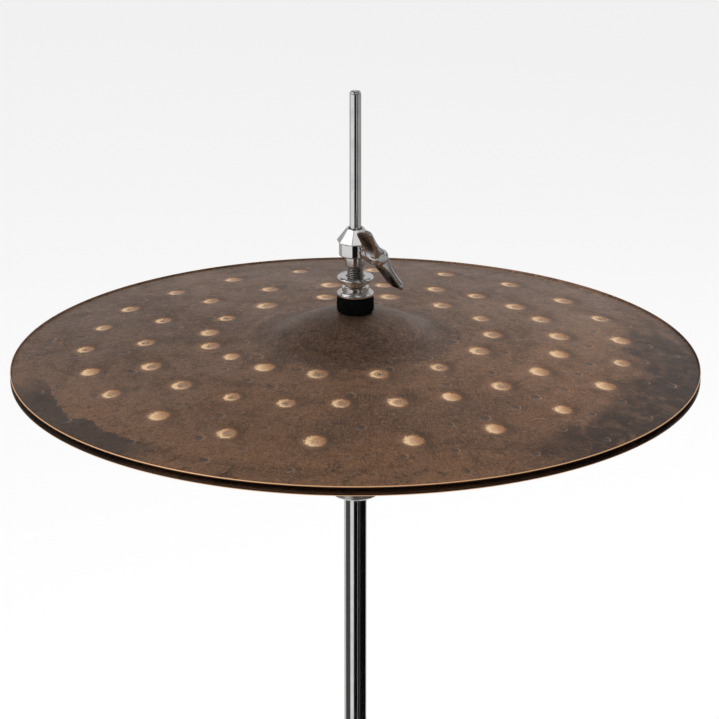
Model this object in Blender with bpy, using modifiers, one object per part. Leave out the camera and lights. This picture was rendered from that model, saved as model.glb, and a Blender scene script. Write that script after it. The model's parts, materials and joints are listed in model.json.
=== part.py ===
"""Hi-hat on its stand: two cymbals, clutch, pull rod, telescoping tube, pedal and folding tripod.

Z is up and the origin is on the floor under the tube. The pedal points to -Y.
Lengths named here are in millimetres, and MM turns them into metres.
"""

import bmesh
import bpy
from math import asin, atan2, cos, hypot, pi, radians, sin, sqrt
from mathutils import Matrix, Vector

MM = 0.001
GAP = 0.3

# Cymbals
CYMBAL_R = 190.5
CYMBAL_RIM_Z = 860.0
CYMBAL_GAP = 3.0
CYMBAL_APEX = 30.5
CYMBAL_THICK = 1.2
CYMBAL_HOLE_R = 6.5
BELL_SPHERE_R = 76.0
BOW_HEIGHT = 17.0
BLEND = 1.4
CYMBAL_STEPS = 36
CLUTCH_STEPS = 20
ROUND_STEPS = 16
BORE_STEPS = 14
PIN_STEPS = 12

# Rod and tubes
ROD_R = 3.175
ROD_TOP_Z = 1015.5
LOWER_ROD_R = 3.5
ROD_JOINT_Z = 283.0
UPPER_TUBE_R = 6.35
UPPER_TUBE_BORE_R = 4.5
UPPER_TUBE_BOTTOM_Z = 446.0
LOWER_TUBE_R = 11.1
LOWER_TUBE_BORE_R = 9.6
LOWER_TUBE_BOTTOM_Z = 172.0
LOWER_TUBE_TOP_Z = 545.0

# Seat under the bottom cymbal
CUP_BOTTOM_Z = 782.6
CUP_HUB_R = 13.3
CUP_DISC_R = 21.0
CUP_DISC_Z = 805.0
CUP_TOP_Z = 812.0
TUBE_TOP_Z = 798.0
FELT_R = 10.4

# Clutch, as heights above the top cymbal's rim
CONE_TOP = 78.5
CONE_BOTTOM = 70.7
BODY_BOTTOM = 62.9
NECK_BOTTOM = 56.2
NECK_R = 5.7
NUT_FLANGE_R = 10.0
NUT_BOSS_R = 7.4
SLEEVE_R = 4.6
SLEEVE_BORE_R = 3.6
SLEEVE_BOTTOM = 6.0
UPPER_NUT = (45.5, 51.0)
LOWER_NUT = (39.4, 45.2)
UPPER_FELT_TOP = 39.1
LOWER_FELT_R = 9.6
LOWER_FELT_T = 8.0
FELT_BORE_R = 5.0
BOTTOM_NUT_T = 11.0
WING_AZIMUTH = radians(-54)
WING_ROLL = radians(34)
WING_SHANK = 6.7
WING_REACH = 23.2
WING_HUB_R = 5.2
WING_SPAN = 46.0
WING_LOBE_R = 5.2
WING_WAIST = 3.8
WING_T = 4.4
WING_INSET = 0.3
SCREW_HOLE_R = 2.75

# Base, pedal and spring
PLATE_T = 3.0
CASTING_HALF_X = 45.0
CASTING_HALF_Y = 17.0
WINDOW_HALF_X = 33.0
BRIDGE_Z = 165.0
CASTING_TOP_Z = 205.0
HEEL_Y = -262.0
HEEL_Z = 20.0
TOE_PIN_Z = 70.0
TOE_PIN_LIFT = 9.0
LINK_LENGTH = 30.0
LINK_X = 8.0
LINK_T = 2.6
PIN_R = 2.3
PIN_HOLE_R = 2.6
TOE_HOLE_R = 3.3
SPRING_BOTTOM_Z = 214.3
SPRING_TOP_Z = 270.0
SPRING_R = 7.2
SPRING_WIRE_R = 0.8
SPRING_TURNS = 7

# Tripod: radial distance and height of the pivots
LEG_AZIMUTHS = (radians(90), radians(210), radians(330))
HUB_PIVOT_R = 28.0
HUB_PIVOT_Z = 400.0
COLLAR_PIVOT_R = 26.0
COLLAR_PIVOT_Z = 226.0
FOOT_R = 270.0
FOOT_Z = 12.0
RIVET_ALONG_LEG = 160.0
LEG_T = 6.0
BRACE_T = 3.0

LEG_LENGTH = hypot(FOOT_R - HUB_PIVOT_R, HUB_PIVOT_Z - FOOT_Z)
LEG_ANGLE = atan2(FOOT_R - HUB_PIVOT_R, HUB_PIVOT_Z - FOOT_Z)
RIVET_R = HUB_PIVOT_R + RIVET_ALONG_LEG * sin(LEG_ANGLE)
RIVET_Z = HUB_PIVOT_Z - RIVET_ALONG_LEG * cos(LEG_ANGLE)
BRACE_LENGTH = hypot(RIVET_R - COLLAR_PIVOT_R, RIVET_Z - COLLAR_PIVOT_Z)
BRACE_ANGLE = atan2(RIVET_Z - COLLAR_PIVOT_Z, RIVET_R - COLLAR_PIVOT_R)
BRACE_SIDE = LEG_T / 2 + BRACE_T / 2 + 0.5

CHROME = ("chrome", (0.78, 0.78, 0.79), 0.08, 1.0)
STEEL = ("steel", (0.46, 0.46, 0.47), 0.32, 1.0)
CAST = ("cast_metal", (0.30, 0.30, 0.31), 0.45, 1.0)
BRONZE = ("bronze", (0.17, 0.11, 0.075), 0.42, 1.0)
FELT = ("felt", (0.012, 0.012, 0.013), 1.0, 0.0)
NYLON = ("nylon", (0.03, 0.03, 0.032), 0.5, 0.0)
RUBBER = ("rubber", (0.015, 0.015, 0.016), 0.8, 0.0)

for old in list(bpy.data.objects):
    bpy.data.objects.remove(old, do_unlink=True)

PARTS = bpy.data.collections.new("hi_hat")
CUTTERS = bpy.data.collections.new("cutters")
bpy.context.scene.collection.children.link(PARTS)
bpy.context.scene.collection.children.link(CUTTERS)


def finish(kind):
    """The material of a (name, colour, roughness, metallic) kind, a new one for each part."""
    name, colour, roughness, metallic = kind
    material = bpy.data.materials.new(name)
    material.use_nodes = True
    shader = material.node_tree.nodes["Principled BSDF"]
    shader.inputs["Base Color"].default_value = (*colour, 1)
    shader.inputs["Roughness"].default_value = roughness
    shader.inputs["Metallic"].default_value = metallic
    return material


def place(mesh, name, kind, at=(0, 0, 0), turn=(0, 0, 0)):
    """A part from a mesh in metres, at a place in millimetres."""
    part = bpy.data.objects.new(name, mesh)
    part.location = Vector(at) * MM
    part.rotation_euler = turn
    if kind is None:
        CUTTERS.objects.link(part)
        part.hide_render = True
        part.display_type = "WIRE"
    else:
        PARTS.objects.link(part)
        mesh.materials.append(finish(kind))
        mesh.shade_smooth()
        mesh.set_sharp_from_angle(angle=radians(35))
    return part


def area(outline):
    """Signed area of a closed outline, above 0 when it runs counterclockwise."""
    ends = outline[1:] + outline[:1]
    return sum(a[0] * b[1] - b[0] * a[1] for a, b in zip(outline, ends)) / 2


def turned(name, kind, profile, at=(0, 0, 0), turn=(0, 0, 0), steps=ROUND_STEPS):
    """A profile of (radius, height) points turned about the local Z axis."""
    if area(profile) > 0:
        profile = profile[::-1]
    on_axis = [i for i, point in enumerate(profile) if point[0] == 0]
    mesh = bpy.data.meshes.new(name)
    shape = bmesh.new()
    points = [shape.verts.new((r * MM, 0, z * MM)) for r, z in profile]
    for i, point in enumerate(points):
        follower = (i + 1) % len(points)
        if i not in on_axis or follower not in on_axis:
            shape.edges.new((point, points[follower]))
    shape.to_mesh(mesh)
    shape.free()
    part = place(mesh, name, kind, at, turn)
    screw = part.modifiers.new("turn", "SCREW")
    screw.steps = steps
    screw.render_steps = steps
    screw.use_merge_vertices = True
    screw.merge_threshold = 0.00001
    return bake(part)


def bake(part):
    """Applies the modifiers, welds the mesh and turns its faces outwards."""
    graph = bpy.context.evaluated_depsgraph_get()
    mesh = bpy.data.meshes.new_from_object(part.evaluated_get(graph))
    part.modifiers.clear()
    shape = bmesh.new()
    shape.from_mesh(mesh)
    bmesh.ops.remove_doubles(shape, verts=shape.verts, dist=0.000005)
    bmesh.ops.recalc_face_normals(shape, faces=shape.faces)
    shape.to_mesh(mesh)
    shape.free()
    mesh.shade_smooth()
    mesh.set_sharp_from_angle(angle=radians(35))
    mesh.name = part.name
    part.data = mesh
    return part


def combine(part, other, operation):
    """A Boolean of the part with another object, which is used up."""
    boolean = part.modifiers.new(operation.lower(), "BOOLEAN")
    boolean.operation = operation
    boolean.object = other
    boolean.solver = "EXACT"
    bpy.context.view_layer.update()
    bake(part)
    bpy.data.objects.remove(other, do_unlink=True)
    return part


def cut(part, *others):
    for other in others:
        combine(part, other, "DIFFERENCE")
    return part


def join(part, *others):
    for other in others:
        combine(part, other, "UNION")
    return part


def circle(x, y, r, count=20):
    return [(x + r * cos(2 * pi * i / count), y + r * sin(2 * pi * i / count)) for i in range(count)]


def arc(x, y, r, start, end, count):
    """Points of an arc, from one angle to another in degrees."""
    angles = [radians(start + (end - start) * i / count) for i in range(count + 1)]
    return [(x + r * cos(angle), y + r * sin(angle)) for angle in angles]


def capsule(length, r_start, r_end, count=6):
    """A bar with round ends, from the origin along X."""
    return arc(0, 0, r_start, 90, 270, count) + arc(length, 0, r_end, -90, 90, count)


def rounded(x0, y0, x1, y1, r, count=4):
    """A rectangle with round corners."""
    return (
        arc(x1 - r, y1 - r, r, 0, 90, count)
        + arc(x0 + r, y1 - r, r, 90, 180, count)
        + arc(x0 + r, y0 + r, r, 180, 270, count)
        + arc(x1 - r, y0 + r, r, 270, 360, count)
    )


def flat(name, kind, outline, thickness, at=(0, 0, 0), turn=(0, 0, 0), holes=()):
    """An outline in the local XY plane with holes, extruded evenly along local Z."""
    curve = bpy.data.curves.new(name, "CURVE")
    curve.dimensions = "2D"
    curve.fill_mode = "BOTH"
    curve.extrude = thickness / 2 * MM
    for loop in (outline, *holes):
        spline = curve.splines.new("POLY")
        spline.points.add(len(loop) - 1)
        spline.use_cyclic_u = True
        for point, (x, y) in zip(spline.points, loop):
            point.co = (x * MM, y * MM, 0, 1)
    guide = bpy.data.objects.new(name + "_curve", curve)
    CUTTERS.objects.link(guide)
    graph = bpy.context.evaluated_depsgraph_get()
    mesh = bpy.data.meshes.new_from_object(guide.evaluated_get(graph))
    bpy.data.objects.remove(guide, do_unlink=True)
    return bake(place(mesh, name, kind, at, turn))


def rod(name, kind, r, low, high, chamfer=0.5, at=(0, 0, 0), turn=(0, 0, 0), steps=BORE_STEPS):
    """A solid round bar along local Z with chamfered ends."""
    profile = [(0, high), (r - chamfer, high), (r, high - chamfer)]
    profile += [(r, low + chamfer), (r - chamfer, low), (0, low)]
    return turned(name, kind, profile, at, turn, steps)


def tube(name, kind, r, bore, low, high, chamfer=0.0, steps=ROUND_STEPS):
    """A hollow round bar along Z, with chamfered outer edges where a chamfer is given."""
    if chamfer:
        outside = [(r - chamfer, high), (r, high - chamfer), (r, low + chamfer), (r - chamfer, low)]
    else:
        outside = [(r, high), (r, low)]
    return turned(name, kind, [(bore, high)] + outside + [(bore, low)], steps=steps)


ALONG_X = (0, pi / 2, 0)
UPRIGHT_XZ = (pi / 2, 0, 0)
UPRIGHT_YZ = (pi / 2, 0, pi / 2)


# Cymbals ------------------------------------------------------------------


def cymbal_height(r):
    """Height of the cymbal's outer face above its rim: a domed bell blended into a bow."""
    dome = CYMBAL_APEX - BELL_SPHERE_R + sqrt(max(BELL_SPHERE_R**2 - r**2, 0))
    bow = BOW_HEIGHT * (1 - (r / CYMBAL_R) ** 2)
    half = (dome - bow) / 2
    return (dome + bow) / 2 + sqrt(half**2 + BLEND**2) - rim_lift(r)


def rim_lift(r):
    """The little that the blend would leave above the rim, taken away evenly along the bow."""
    dome = CYMBAL_APEX - BELL_SPHERE_R
    return (dome / 2 + sqrt(dome**2 / 4 + BLEND**2)) * (r / CYMBAL_R) ** 2


def cymbal_profile(up):
    """The closed outline of a cymbal. up is 1 with the bell on top and -1 with it below."""
    radii = [CYMBAL_HOLE_R, 22, 34, 41, 46, 53, 85, 120, 155, CYMBAL_R]
    outer = [(r, up * max(cymbal_height(r), CYMBAL_THICK)) for r in radii]
    inner = [(r, up * max(cymbal_height(r) - CYMBAL_THICK, 0)) for r in radii]
    return outer + inner[::-1]


turned("top_cymbal", BRONZE, cymbal_profile(1), (0, 0, CYMBAL_RIM_Z), steps=CYMBAL_STEPS)
turned(
    "bottom_cymbal",
    BRONZE,
    cymbal_profile(-1),
    (0, 0, CYMBAL_RIM_Z - CYMBAL_GAP),
    steps=CYMBAL_STEPS,
)


# Clutch -------------------------------------------------------------------


def wing_screw(name, at, azimuth, roll, shank, reach, hub_r, span):
    """A wing screw on a level axis. at is where its axis starts, reach how far its hub stands out."""
    turn = (roll, 0, azimuth)
    hub = rod(name, CHROME, hub_r, shank, reach, 1.2)
    stem = rod(name + "_stem", CHROME, 2.4, 0, reach - 2, 0.4, steps=PIN_STEPS)
    join(hub, stem)
    hub.data.transform(Matrix.Rotation(pi / 2, 4, "Y"))
    half = span / 2
    outline = arc(half - WING_LOBE_R, 0, WING_LOBE_R, -75, 75, 6) + arc(0, 0, WING_WAIST, 60, 120, 2)
    outline += arc(-half + WING_LOBE_R, 0, WING_LOBE_R, 105, 255, 6) + arc(0, 0, WING_WAIST, 240, 300, 2)
    wings = flat(name + "_wings", CHROME, outline, WING_T)
    wings.data.transform(Matrix.Rotation(pi / 2, 4, "X"))
    wings.data.transform(Matrix.Rotation(pi / 2, 4, "Y"))
    wings.data.transform(Matrix.Translation(((reach - WING_LOBE_R - WING_INSET) * MM, 0, 0)))
    join(hub, wings)
    hub.location = Vector(at) * MM
    hub.rotation_euler = turn
    return hub


def on_rim(height):
    return CYMBAL_RIM_Z + height


def radial_hole(azimuth, z, r, reach):
    """A cutter for a level hole from the axis outwards."""
    drill = rod("drill", None, r, 0, reach, 0.01, at=(0, 0, z))
    drill.rotation_euler = (0, pi / 2, azimuth)
    return drill


def make_clutch():
    screw_z = on_rim((CONE_BOTTOM + BODY_BOTTOM) / 2)
    profile = [
        (SLEEVE_BORE_R, CONE_TOP),
        (4.7, CONE_TOP),
        (9.9, CONE_BOTTOM + 0.4),
        (9.9, CONE_BOTTOM),
        (9.0, CONE_BOTTOM - 0.5),
        (9.0, BODY_BOTTOM + 0.5),
        (8.5, BODY_BOTTOM),
        (NECK_R, BODY_BOTTOM),
        (NECK_R, NECK_BOTTOM + 0.7),
        (NECK_R - 0.7, NECK_BOTTOM),
        (SLEEVE_R, NECK_BOTTOM - 0.3),
        (SLEEVE_R, SLEEVE_BOTTOM + 0.4),
        (SLEEVE_R - 0.4, SLEEVE_BOTTOM),
        (SLEEVE_BORE_R, SLEEVE_BOTTOM),
    ]
    body = turned("clutch_body", CHROME, profile, (0, 0, CYMBAL_RIM_Z), steps=CLUTCH_STEPS)
    cut(body, radial_hole(WING_AZIMUTH, screw_z, SCREW_HOLE_R, 12))
    screw_start = ROD_R + 0.7
    at = (screw_start * cos(WING_AZIMUTH), screw_start * sin(WING_AZIMUTH), screw_z)
    sizes = (WING_SHANK, WING_REACH, WING_HUB_R, WING_SPAN)
    wing_screw("clutch_wing_screw", at, WING_AZIMUTH, WING_ROLL, *sizes)


def lock_nut(name, bottom, top, flange_on_top):
    """A round nut with a flange on one side. bottom and top are heights above the rim."""
    bore = SLEEVE_R + 0.25
    edge = 0.8
    flange = 2.7
    if flange_on_top:
        step = top - flange
        profile = [(bore, top), (NUT_FLANGE_R - edge, top), (NUT_FLANGE_R, top - edge)]
        profile += [(NUT_FLANGE_R, step + edge), (NUT_FLANGE_R - edge, step), (NUT_BOSS_R, step)]
        profile += [(NUT_BOSS_R, bottom), (bore, bottom)]
    else:
        step = bottom + flange
        profile = [(bore, top), (NUT_BOSS_R, top), (NUT_BOSS_R, step), (NUT_FLANGE_R - edge, step)]
        profile += [(NUT_FLANGE_R, step - edge), (NUT_FLANGE_R, bottom + edge)]
        profile += [(NUT_FLANGE_R - edge, bottom), (bore, bottom)]
    return turned(name, CHROME, profile, (0, 0, CYMBAL_RIM_Z), steps=CLUTCH_STEPS)


def make_clutch_stack():
    """The nuts and felts on the clutch's threaded sleeve, from the top down."""
    lock_nut("clutch_lock_nut_upper", *UPPER_NUT, True)
    lock_nut("clutch_lock_nut_lower", *LOWER_NUT, False)
    ends = (on_rim(CYMBAL_APEX + 0.1), on_rim(UPPER_FELT_TOP))
    tube("clutch_felt_upper", FELT, FELT_R, FELT_BORE_R, *ends, 1.2)
    under_bell = CYMBAL_APEX - CYMBAL_THICK - 1.0
    felt_low = under_bell - LOWER_FELT_T
    ends = (on_rim(felt_low), on_rim(under_bell))
    tube("clutch_felt_lower", FELT, LOWER_FELT_R, FELT_BORE_R, *ends, 1.0)
    nut_top = felt_low - GAP
    nut_bottom = nut_top - BOTTOM_NUT_T
    bore = SLEEVE_R + 0.25
    profile = [(bore, nut_top), (9.0, nut_top), (9.5, nut_top - 0.5), (9.5, nut_bottom + 4)]
    profile += [(8.0, nut_bottom + 3), (7.5, nut_bottom), (bore, nut_bottom)]
    turned("clutch_bottom_nut", CHROME, profile, (0, 0, CYMBAL_RIM_Z))


make_clutch()
make_clutch_stack()


# Seat, upper tube and pull rod ----------------------------------------------


def make_seat():
    bottom_rim = CYMBAL_RIM_Z - CYMBAL_GAP
    profile = [
        (5.9, CUP_TOP_Z),
        (CUP_DISC_R - 0.6, CUP_TOP_Z),
        (CUP_DISC_R, CUP_TOP_Z - 0.6),
        (CUP_DISC_R, CUP_DISC_Z + 0.6),
        (CUP_DISC_R - 0.6, CUP_DISC_Z),
        (CUP_HUB_R, CUP_DISC_Z - 1.5),
        (CUP_HUB_R, CUP_BOTTOM_Z + 0.9),
        (CUP_HUB_R - 0.9, CUP_BOTTOM_Z),
        (UPPER_TUBE_R + 0.2, CUP_BOTTOM_Z),
        (UPPER_TUBE_R + 0.2, TUBE_TOP_Z + GAP),
        (4.4, TUBE_TOP_Z + GAP),
        (4.4, CUP_TOP_Z - 6.3),
        (5.9, CUP_TOP_Z - 6.3),
    ]
    turned("seat_cup", STEEL, profile, steps=CLUTCH_STEPS)
    felt_top = bottom_rim - CYMBAL_APEX - 0.1
    tube("seat_felt", FELT, 16.0, 6.2, CUP_TOP_Z + GAP, felt_top, 1.2)
    tube("seat_sleeve", NYLON, 5.6, 4.2, CUP_TOP_Z - 6.0, bottom_rim - CYMBAL_APEX + 5.0, 0.3)


def make_tubes_and_rods():
    tube("upper_tube", CHROME, UPPER_TUBE_R, UPPER_TUBE_BORE_R, UPPER_TUBE_BOTTOM_Z, TUBE_TOP_Z)
    tube("tube_guide_bush", NYLON, 4.3, 3.5, TUBE_TOP_Z - 18, TUBE_TOP_Z - GAP, 0.1)
    tip = [(0, ROD_TOP_Z), (1.6, ROD_TOP_Z - 0.45), (2.7, ROD_TOP_Z - 1.5), (ROD_R, ROD_TOP_Z - 3.2)]
    foot = [(ROD_R, ROD_JOINT_Z + 0.5), (ROD_R - 0.5, ROD_JOINT_Z + GAP / 2), (0, ROD_JOINT_Z + GAP / 2)]
    turned("pull_rod", CHROME, tip + foot)
    rod("lower_rod", STEEL, LOWER_ROD_R, 110 + GAP, ROD_JOINT_Z - GAP / 2)
    tube("rod_coupler", STEEL, 8.2, LOWER_ROD_R + 0.2, SPRING_TOP_Z + GAP, 296)


make_seat()
make_tubes_and_rods()


# Base, spring and height clamp ------------------------------------------------


def make_base():
    plate = arc(0, 16, 46, 0, 180, 12) + [(-46, -30), (-30, -60), (-30, -240), (-42, -262)]
    plate += [(-42, -318), (42, -318), (42, -262), (30, -240), (30, -60), (46, -30)]
    floor_plate = flat("base_plate", STEEL, plate, PLATE_T, (0, 0, PLATE_T / 2))
    foot_z = PLATE_T + GAP
    outline = [(-CASTING_HALF_X, 15), (-CASTING_HALF_X, foot_z), (CASTING_HALF_X, foot_z)]
    outline += [(CASTING_HALF_X, 15)]
    outline += arc(CASTING_HALF_X - 26, CASTING_TOP_Z - 26, 26, 0, 90, 6)
    outline += arc(-CASTING_HALF_X + 26, CASTING_TOP_Z - 26, 26, 90, 180, 6)
    window = rounded(-WINDOW_HALF_X, 14, WINDOW_HALF_X, BRIDGE_Z, 10)
    casting = flat(
        "base_casting", CAST, outline, 2 * CASTING_HALF_Y, turn=UPRIGHT_XZ, holes=[window]
    )
    bore = rod("bore", None, LOWER_TUBE_R + 0.3, BRIDGE_Z - 5, CASTING_TOP_Z + 5, 0.01, steps=CLUTCH_STEPS)
    cut(casting, bore)
    for side, x in (("left", -39), ("right", 39)):
        for target in (floor_plate, casting):
            cut(target, rod("hole", None, 2.9, -2, 17, 0.01, at=(x, 0, 0)))
        cut(casting, rod("pocket", None, 5.4, 10, 180, 0.01, at=(x, 0, 0)))
        bolt = [(0, 14), (4.6, 14), (5.0, 13.4), (5.0, 10 + GAP), (2.5, 10 + GAP), (2.5, 0.6), (0, 0.6)]
        turned(f"base_bolt_{side}", STEEL, bolt, (x, 0, 0), steps=PIN_STEPS)


def make_spring_unit():
    """Tension knob under the bridge, its sleeve inside the tube, spring seat and spring."""
    sleeve_top = SPRING_BOTTOM_Z - 4.0
    knob = [(4.2, sleeve_top), (8.6, sleeve_top), (8.6, BRIDGE_Z - 1), (18.0, BRIDGE_Z - 1)]
    knob += [(19.0, BRIDGE_Z - 2), (19.0, BRIDGE_Z - 17), (18.0, BRIDGE_Z - 18)]
    knob += [(4.2, BRIDGE_Z - 18)]
    dial = turned("tension_knob", NYLON, knob)
    flute = rod("flute", None, 2.6, BRIDGE_Z - 20, BRIDGE_Z, 0.01, steps=8)
    flutes = 10
    for i in range(flutes):
        groove = flute.copy()
        groove.data = flute.data.copy()
        CUTTERS.objects.link(groove)
        angle = 2 * pi * i / flutes
        groove.location = Vector((20.2 * cos(angle), 20.2 * sin(angle), 0)) * MM
        cut(dial, groove)
    bpy.data.objects.remove(flute, do_unlink=True)
    tube("spring_seat", STEEL, 8.9, 4.2, sleeve_top + GAP, SPRING_BOTTOM_Z - GAP)
    coil = bpy.data.curves.new("return_spring", "CURVE")
    coil.dimensions = "3D"
    coil.bevel_depth = SPRING_WIRE_R * MM
    coil.bevel_resolution = 1
    coil.use_fill_caps = True
    spline = coil.splines.new("POLY")
    count = 10 * SPRING_TURNS
    spline.points.add(count)
    low = SPRING_BOTTOM_Z + SPRING_WIRE_R
    rise = SPRING_TOP_Z - SPRING_WIRE_R - low
    for i, point in enumerate(spline.points):
        share = i / count
        angle = 2 * pi * SPRING_TURNS * share
        z = low + rise * share
        point.co = (SPRING_R * cos(angle) * MM, SPRING_R * sin(angle) * MM, z * MM, 1)
    spring = bpy.data.objects.new("return_spring", coil)
    coil.materials.append(finish(STEEL))
    PARTS.objects.link(spring)


def make_height_clamp():
    tube("lower_tube", CHROME, LOWER_TUBE_R, LOWER_TUBE_BORE_R, LOWER_TUBE_BOTTOM_Z, LOWER_TUBE_TOP_Z)
    top = 562.0
    step = LOWER_TUBE_TOP_Z + GAP
    inner = LOWER_TUBE_BORE_R + 0.1
    profile = [(inner, top), (14.5, top), (16.0, top - 1.5), (16.0, 518.5), (14.5, 517.0)]
    profile += [(LOWER_TUBE_R + 0.3, 517.0), (LOWER_TUBE_R + 0.3, step), (inner, step)]
    clamp = turned("height_clamp", CAST, profile, steps=CLUTCH_STEPS)
    boss_z = 553.0
    join(clamp, rod("boss", CAST, 7.0, 13.5, 25.0, at=(0, 0, boss_z), turn=ALONG_X))
    cut(clamp, radial_hole(0, boss_z, 2.9, 30))
    screw_start = 10.2
    wing_screw("height_wing_screw", (screw_start, 0, boss_z), 0, radians(-20), 15.3, 27, 6.0, 46)
    profile = [(6.5, top + 3), (12.0, top + 3), (12.0, top + GAP)]
    profile += [(9.4, top + GAP), (9.4, 523), (6.5, 523)]
    turned("clamp_bushing", NYLON, profile)


make_base()
make_spring_unit()
make_height_clamp()


# Pedal --------------------------------------------------------------------


def make_heel():
    block_top = 9.3
    low = PLATE_T + GAP
    heel = flat("heel_plate", CAST, rounded(-40, -314, 40, -268, 6), block_top - low)
    heel.location.z = (block_top + low) / 2 * MM
    knuckle = arc(HEEL_Y, HEEL_Z, 8, -60, 170, 10) + [(HEEL_Y - 18, low + 1), (HEEL_Y - 4, low + 1)]
    for x in (-28, 28):
        ear = flat("ear", CAST, knuckle, 11, (x, 0, 0), UPRIGHT_YZ)
        join(heel, ear)
    cut(heel, rod("hole", None, 3.5, -50, 50, 0.01, at=(0, HEEL_Y, HEEL_Z), turn=ALONG_X))
    rod("heel_hinge_pin", STEEL, 3.2, -36, 36, at=(0, HEEL_Y, HEEL_Z), turn=ALONG_X)


def make_footboard():
    """The board with its toe bracket, built flat along local Y from the hinge, then tilted."""
    reach = hypot(HEEL_Y, TOE_PIN_Z - HEEL_Z)
    pin_y = sqrt(reach**2 - TOE_PIN_LIFT**2)
    tilt = atan2(TOE_PIN_Z - HEEL_Z, -HEEL_Y) - asin(TOE_PIN_LIFT / reach)
    half = 2.5
    outline = [(19, 2), (19, 13)] + arc(33, 34, 9, -50, 0, 3) + [(42, 170), (26, 236)]
    outline += arc(14, pin_y + 2, 8, 0, 90, 3)
    outline += [(-x, y) for x, y in reversed(outline)]
    board = flat("footboard", CAST, outline, 2 * half)
    rib_length = 12
    for y in range(45, 200, 26):
        rib = flat("rib", CAST, rounded(-30, y, 30, y + rib_length, 4, 2), 3, (0, 0, half))
        join(board, rib)
    knuckle = rod("knuckle", CAST, 8.0, -19, 19, 0.4, turn=ALONG_X)
    join(board, knuckle)
    cut(board, rod("hole", None, 3.5, -30, 30, 0.01, turn=ALONG_X))
    low = half + GAP
    shape = [(pin_y - 22, low), (pin_y + 6, low)] + arc(pin_y, TOE_PIN_LIFT, 5.5, -20, 180, 8)
    shape += [(pin_y - 22, low + 3)]
    bracket = flat("toe_bracket", STEEL, shape, 12, turn=UPRIGHT_YZ)
    pin_at = (0, pin_y, TOE_PIN_LIFT)
    cut(bracket, rod("hole", None, TOE_HOLE_R, -20, 20, 0.01, at=pin_at, turn=ALONG_X))
    lean = Matrix.Translation(Vector((0, HEEL_Y, HEEL_Z)) * MM) @ Matrix.Rotation(tilt, 4, "X")
    board.matrix_world = lean
    bracket.matrix_world = lean @ bracket.matrix_basis


def make_link():
    """Clevis on the rod, two side links and their pins, straight down to the footboard's toe."""
    clevis_pin_z = TOE_PIN_Z + LINK_LENGTH
    outline = rounded(-6, clevis_pin_z - 7, 6, clevis_pin_z + 18, 4)
    hole = circle(0, clevis_pin_z, PIN_HOLE_R, PIN_STEPS)
    clevis = flat("rod_clevis", STEEL, outline, 12, turn=UPRIGHT_YZ, holes=[hole])
    cut(clevis, rod("hole", None, LOWER_ROD_R + 0.3, clevis_pin_z + 10, clevis_pin_z + 30, 0.01))
    for side, x in (("left", -LINK_X), ("right", LINK_X)):
        flat(
            f"drive_link_{side}",
            STEEL,
            capsule(LINK_LENGTH, 6, 6),
            LINK_T,
            (x, 0, clevis_pin_z),
            ALONG_X,
            [circle(0, 0, PIN_HOLE_R, PIN_STEPS), circle(LINK_LENGTH, 0, PIN_HOLE_R, PIN_STEPS)],
        )
    pin = headed_pin(2 * LINK_X + LINK_T)
    turned("clevis_pin", STEEL, pin, (0, 0, clevis_pin_z), ALONG_X, PIN_STEPS)
    turned("toe_pin", STEEL, pin, (0, 0, TOE_PIN_Z), ALONG_X, PIN_STEPS)


def headed_pin(width):
    """Profile of a pin with a domed head at each side of a stack of the given width."""
    end = width / 2 + GAP
    head = [(0, end + 2.2), (2.6, end + 1.7), (4.0, end)]
    top = head + [(PIN_R, end)]
    return top + [(r, -z) for r, z in reversed(top)]


make_heel()
make_footboard()
make_link()


# Tripod -------------------------------------------------------------------


def spun(azimuth, r, z):
    return (r * cos(azimuth), r * sin(azimuth), z)


def radial_turn(azimuth, pitch):
    """Local X outwards and turned down by pitch in the radial plane, local Z sideways."""
    upright = Matrix.Rotation(azimuth, 4, "Z") @ Matrix.Rotation(pi / 2, 4, "X")
    return (upright @ Matrix.Rotation(-pitch, 4, "Z")).to_euler()


def lug_collar(name, low, high, pivot_r, pivot_z, lugs, lug_t):
    """A round collar on the lower tube with lugs in pairs for three hinged bars."""
    outer = 17.5
    root = 13.3
    bore = LOWER_TUBE_R + 0.3
    collar = tube(name, CAST, outer, bore, low, high, steps=CLUTCH_STEPS)
    shape = [(0, 8), (0, -8)] + arc(pivot_r - root, 0, 6.5, -80, 80, 5)
    hole = circle(pivot_r - root, 0, PIN_HOLE_R, PIN_STEPS)
    for azimuth in LEG_AZIMUTHS:
        for side in lugs:
            at = sideways(azimuth, root, pivot_z, side)
            join(collar, flat("lug", CAST, shape, lug_t, at, radial_turn(azimuth, 0), [hole]))
    return collar


def make_hub():
    """Sliding hub that carries the legs, its lock screw, and the fixed collar for the braces."""
    lug_t = 3.2
    side = LEG_T / 2 + 0.4 + lug_t / 2
    hub = lug_collar("leg_hub", 385, 420, HUB_PIVOT_R, HUB_PIVOT_Z, (-side, side), lug_t)
    azimuth = radians(30)
    join(hub, rod("boss", CAST, 6.5, 14.5, 23.5, at=(0, 0, 408), turn=(0, pi / 2, azimuth)))
    cut(hub, radial_hole(azimuth, 408, 2.9, 30))
    start = LOWER_TUBE_R + 0.6
    wing_screw("hub_wing_screw", spun(azimuth, start, 408), azimuth, radians(25), 13.9, 25.5, 6.0, 46)
    inner = BRACE_SIDE - BRACE_T / 2 - 0.3 - 1.4
    outer = BRACE_SIDE + BRACE_T / 2 + 0.3 + 1.4
    lug_collar("brace_collar", 210, 242, COLLAR_PIVOT_R, COLLAR_PIVOT_Z, (inner, outer), 2.8)
    return side + lug_t / 2


def sideways(azimuth, r, z, side):
    x, y, _ = spun(azimuth, r, z)
    return (x + side * sin(azimuth), y - side * cos(azimuth), z)


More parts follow.
